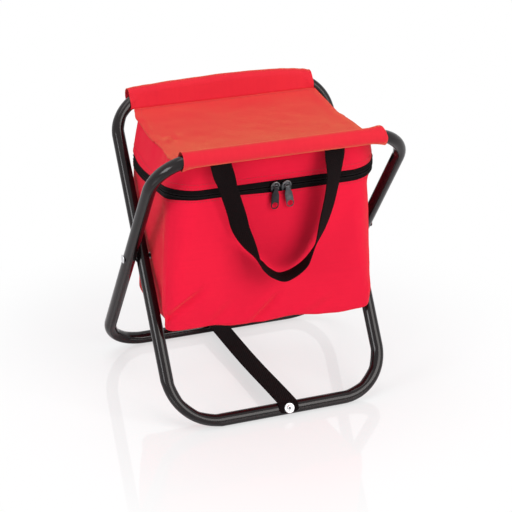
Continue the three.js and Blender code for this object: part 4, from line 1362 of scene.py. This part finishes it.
def makePull(name, tilt, material):
    outer, inner = pullOutlines()
    points = [(x, slider["bailY"] - pull["thick"] / 2, z) for x, z in outer + inner]
    n, m = len(outer), len(inner)
    edges = [(i, (i + 1) % n) for i in range(n)] + [(n + i, n + (i + 1) % m) for i in range(m)]
    piece = meshFrom(f"pull{name}", points, [], edges)
    startEdit(piece)
    bpy.ops.mesh.fill()
    bpy.ops.mesh.select_all(action="SELECT")
    bpy.ops.mesh.extrude_region_move(TRANSFORM_OT_translate={"value": (0, pull["thick"] * mm, 0)})
    endEdit()
    applyModifier(
        piece, "BEVEL", width=0.3 * mm, segments=2, limit_method="ANGLE", angle_limit=math.radians(50),
    )
    # the knuckle rolled round the bail's bar
    bore, rim, wide = pull["knuckle"]
    profile = [(bore, -wide), (rim, -wide), (rim, wide), (bore, wide), (bore, -wide)]
    joinInto(piece, [turnedPiece(f"pull{name}Knuckle", profile, (0, slider["bailY"], 0), (1, 0, 0), 24)])
    place = Matrix.Translation((slider["places"][name] * mm, 0, slider["bailZ"] * mm))
    piece.data.transform(place @ Matrix.Rotation(math.radians(tilt), 4, "Y"))
    smoothShade(piece, 35)
    foldFlat(dress(piece, material, "gunmetal", f"zipper_pull_{name.lower()}"), f"{name.lower()}_pull")


makeSlider("Left")
makeSlider("Right")
makePull("Left", 3, darkPull)
makePull("Right", -11, gunmetal)
print("sliders and pulls made")


# Webbing: a flat strip swept along stations, each with a place, a way along and a way out of its face
def webbingStrip(name, stations, width, thickness):
    half, thick, edge = width / 2, thickness / 2, 0.55
    section = [
        (-half + edge, -thick), (-half, -thick + edge * 0.6), (-half, thick - edge * 0.6),
        (-half + edge, thick),
    ]
    section += [(-half * (1 - 2 * n / 6), thick + 0.12 * math.cos(math.pi * n)) for n in range(1, 6)]
    section += [
        (half - edge, thick), (half, thick - edge * 0.6), (half, -thick + edge * 0.6),
        (half - edge, -thick),
    ]
    section += [(half * (1 - 2 * n / 6), -thick - 0.12 * math.cos(math.pi * n)) for n in range(1, 6)]
    rows = []
    for point, along, out, share in stations:
        side = out.cross(along).normalized()
        rows.append([point + side * s * share + out * t for s, t in section])
    piece = clothFrom(name, rows, closed=True, capped=True)
    startEdit(piece)
    endEdit()
    smoothShade(piece, 55)
    return piece


handle = {
    "place": 108, "span": 144, "drop": 163, "shift": -8.7, "steps": 150, "width": 25, "cloth": 1.6,
    "top": 346.04, "sewnTo": 341.5, "join": 336.69,
}
# across and down as shares, and the turn of the face in degrees
handlePlaces = [
    (-1, 0, 0), (-0.975, 0.04, 0), (-0.966, 0.057, 0), (-0.957, 0.075, 0), (-0.935, 0.11, 8),
    (-0.88, 0.19, 36), (-0.83, 0.26, 44), (-0.7, 0.44, 45), (-0.63, 0.56, 46), (-0.53, 0.66, 54),
    (-0.41, 0.765, 74), (-0.3, 0.85, 96), (-0.2, 0.9, 102), (-0.09, 0.95, 99), (0.1, 1, 92),
    (0.28, 0.99, 85), (0.45, 0.95, 80), (0.56, 0.905, 75), (0.66, 0.83, 64), (0.75, 0.745, 55),
    (0.81, 0.67, 46), (0.865, 0.58, 38), (0.915, 0.49, 34), (0.955, 0.4, 32), (0.99, 0.3, 29),
    (1.01, 0.19, 21), (1.007, 0.115, 6), (1.004, 0.08, 0), (1.003, 0.06, 0), (1.002, 0.04, 0), (1, 0, 0),
]


def curveThrough(points, share):  # an even curve through the places
    at = share * (len(points) - 1)
    i = min(len(points) - 2, int(at))
    t = at - i
    p1, p2 = points[i], points[i + 1]
    p0 = points[i - 1] if i else p1 * 2 - p2
    p3 = points[i + 2] if i + 2 < len(points) else p2 * 2 - p1
    bend, twist = 2 * p0 - 5 * p1 + 4 * p2 - p3, 3 * p1 - p0 - 3 * p2 + p3
    return 0.5 * (2 * p1 + (p2 - p0) * t + bend * t * t + twist * t ** 3)


def handleStations(side):
    half, length = handle["span"] / 2, handle["drop"]
    knots = [Vector((a * half, t, -d * length)) for a, d, t in handlePlaces]
    stations = []
    for n in range(handle["steps"] + 1):
        share = n / handle["steps"]
        point = curveThrough(knots, share)
        along = curveThrough(knots, min(1, share + 0.004)) - curveThrough(knots, max(0, share - 0.004))
        along.y = 0
        along.normalize()
        lean = math.radians(point.y)
        out = Matrix.Rotation(-side * lean, 3, along) @ Vector((0, side, 0))
        away = side * (handle["place"] + (0 if side < 0 else handle["width"] / 2 * math.sin(lean)))
        away += 0.5 * ripple(point.x, 0, point.z, 40, 15) * smoothStep(-point.z, 12, 40)
        stations.append((Vector((point.x + handle["shift"], away, handle["top"] + point.z)), along, out, 1.0))
    return stations


def makeHandle(name, side, body, node):
    stations = handleStations(side)
    runs = {"Loop": [], "Left": [], "Right": []}
    for station in stations:  # the ends above the seam stay with the seat when the loop lifts
        low, first = station[0].z < handle["join"], station[0].x < handle["shift"]
        runs["Loop" if low else "Left" if first else "Right"].append(station)
    for key, near in (("Left", runs["Loop"][0]), ("Right", runs["Loop"][-1])):
        run = [s for s in runs[key] if s[0].z < handle["sewnTo"]]
        runs[key] = run + [near] if key == "Left" else [near] + run
    for key, rider in (("Loop", body), ("Left", "seat_and_lid"), ("Right", "seat_and_lid")):
        piece = webbingStrip(f"{name}{key}", runs[key], handle["width"], handle["cloth"])
        dress(piece, blackWebbing, "black_webbing", node if key == "Loop" else f"{node}_end_{key.lower()}")
        foldFlat(piece, rider)


makeHandle("frontHandle", -1, "front_loop", "front_handle")
makeHandle("rearHandle", 1, "rear_loop", "rear_handle")
print("handles hung")


# Floor strap, in halves that each follow their own rail
strap = {
    "inside": 8.46, "cloth": 1.6, "width": 25, "skew": 5, "wrap": 32, "sag": 2.5, "flatSteps": 30,
    "roundSteps": 18,
}


def strapStations(side):
    reach = strap["inside"] + strap["cloth"] / 2
    rail, height = tube["floorRail"], tube["radius"]
    low = math.radians(strapRivet["tilt"] - strap["wrap"])
    flat, bent = strap["flatSteps"], strap["roundSteps"]
    path = []
    for n in range(flat + 1):
        y = rail * n / flat
        path.append((y, height + reach - strap["sag"] * math.cos(math.pi / 2 * (y / rail)) ** 2, 1.0))
    for n in range(1, bent + 1):  # round the rail, and narrower where the end is tucked in
        q = math.pi / 2 + (low - math.pi / 2) * n / bent
        end = max(0, (n - 14) / 4)
        wide = math.sqrt(max(0.04, 1 - 0.55 * end ** 2))
        path.append((rail + reach * math.cos(q), height + reach * math.sin(q), wide))
    points = [Vector((-side * strap["skew"] * min(1, y / rail), side * y, z)) for y, z, _ in path]
    stations = []
    for n, point in enumerate(points):
        along = (points[min(n + 1, len(points) - 1)] - points[max(n - 1, 0)]).normalized()
        if n == 0:  # both halves meet here
            out = Vector((0, 0, 1))
        elif n > flat:  # the face stays turned outwards round the rail
            out = (point - Vector((point.x, side * rail, height))).normalized()
        else:
            out = Vector((side, 0, 0)).cross(along).normalized()
        stations.append((point, along, out, path[n][2]))
    return stations


def makeStrapHalf(name, side):
    piece = webbingStrip(name, strapStations(side), strap["width"], strap["cloth"])
    dress(piece, blackWebbing, "black_webbing", "spread_strap")
    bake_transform(piece)


makeStrapHalf("strapFront", -1)
makeStrapHalf("strapRear", 1)
print("strap laid")


# Floor, world and lamps
stage = {
    "size": 8, "drop": 0.0003, "colour": (0.90, 0.90, 0.90, 1), "rough": 0.03, "ior": 2.1,
    "clearFrom": 0.22, "clearTo": 0.46, "haze": 0.60, "seenWorld": 1.0, "worldLight": 0.42,
    "worldTint": (0.92, 0.93, 1.0, 1),
}
white = (1, 1, 1, 1)


def makeFloor():
    nothingSelected()
    bpy.ops.mesh.primitive_plane_add(size=stage["size"], location=(0, 0, -stage["drop"]))
    floor = bpy.context.object
    floor.name = "floor"
    look = {"Base_Color": stage["colour"], "Roughness": stage["rough"], "IOR": stage["ior"]}
    material, tree, shader = newMaterial("paleFloor", **look)
    out = tree.nodes["Material Output"]
    light = addNode(tree, "ShaderNodeLightPath")
    glow = addNode(tree, "ShaderNodeEmission", {"Color": white, "Strength": 1.0})
    place = addNode(tree, "ShaderNodeTexCoord").outputs["Object"]
    away = addNode(tree, "ShaderNodeVectorMath", {0: place}, operation="LENGTH").outputs["Value"]
    reach = {0: away, 1: stage["clearFrom"], 2: stage["clearTo"], 3: stage["haze"]}
    clear = addNode(tree, "ShaderNodeMapRange", reach, interpolation_type="SMOOTHSTEP")
    share = maths(tree, "MULTIPLY", clear.outputs[0], light.outputs["Is Camera Ray"])
    mix = addNode(tree, "ShaderNodeMixShader", {0: share, 1: shader.outputs[0], 2: glow.outputs[0]})
    tree.links.new(mix.outputs[0], out.inputs["Surface"])
    wear(floor, material)


def makeWorld():
    world = bpy.data.worlds.new("studio")
    world.use_nodes = True
    scene.world = world
    tree = world.node_tree
    back = tree.nodes["Background"]
    light = addNode(tree, "ShaderNodeLightPath")
    bounced = maths(tree, "MAXIMUM", light.outputs["Is Glossy Ray"], light.outputs["Is Transmission Ray"])
    seen = maths(tree, "MAXIMUM", light.outputs["Is Camera Ray"], bounced)
    strength = addNode(tree, "ShaderNodeMapRange", {0: seen, 3: stage["worldLight"], 4: stage["seenWorld"]})
    tree.links.new(mixColours(tree, seen, stage["worldTint"], white), back.inputs["Color"])
    tree.links.new(strength.outputs[0], back.inputs["Strength"])


lamps = {
    "keyLamp": {"place": (1.35, -2.25, 1.5), "size": 1.9, "power": 58, "colour": (1.0, 0.97, 0.94)},
    "topLamp": {"place": (-0.3, 0.2, 2.6), "size": 1.8, "power": 25, "colour": (1.0, 0.98, 0.96)},
    "sideLamp": {"place": (-2.4, -0.9, 1.1), "size": 1.0, "power": 26, "colour": (0.97, 0.98, 1.0)},
}


def placeLamps():
    for name, look in lamps.items():
        bpy.ops.object.light_add(type="AREA", location=look["place"])
        lamp = bpy.context.object
        lamp.name = name
        lamp.data.shape = "SQUARE"
        lamp.data.size = look["size"]
        lamp.data.energy = look["power"]
        lamp.data.color = look["colour"]
        way = Vector((0, 0, 0.18)) - Vector(look["place"])
        lamp.rotation_euler = way.to_track_quat("-Z", "Y").to_euler()


makeFloor()
makeWorld()
placeLamps()
print("studio lit")

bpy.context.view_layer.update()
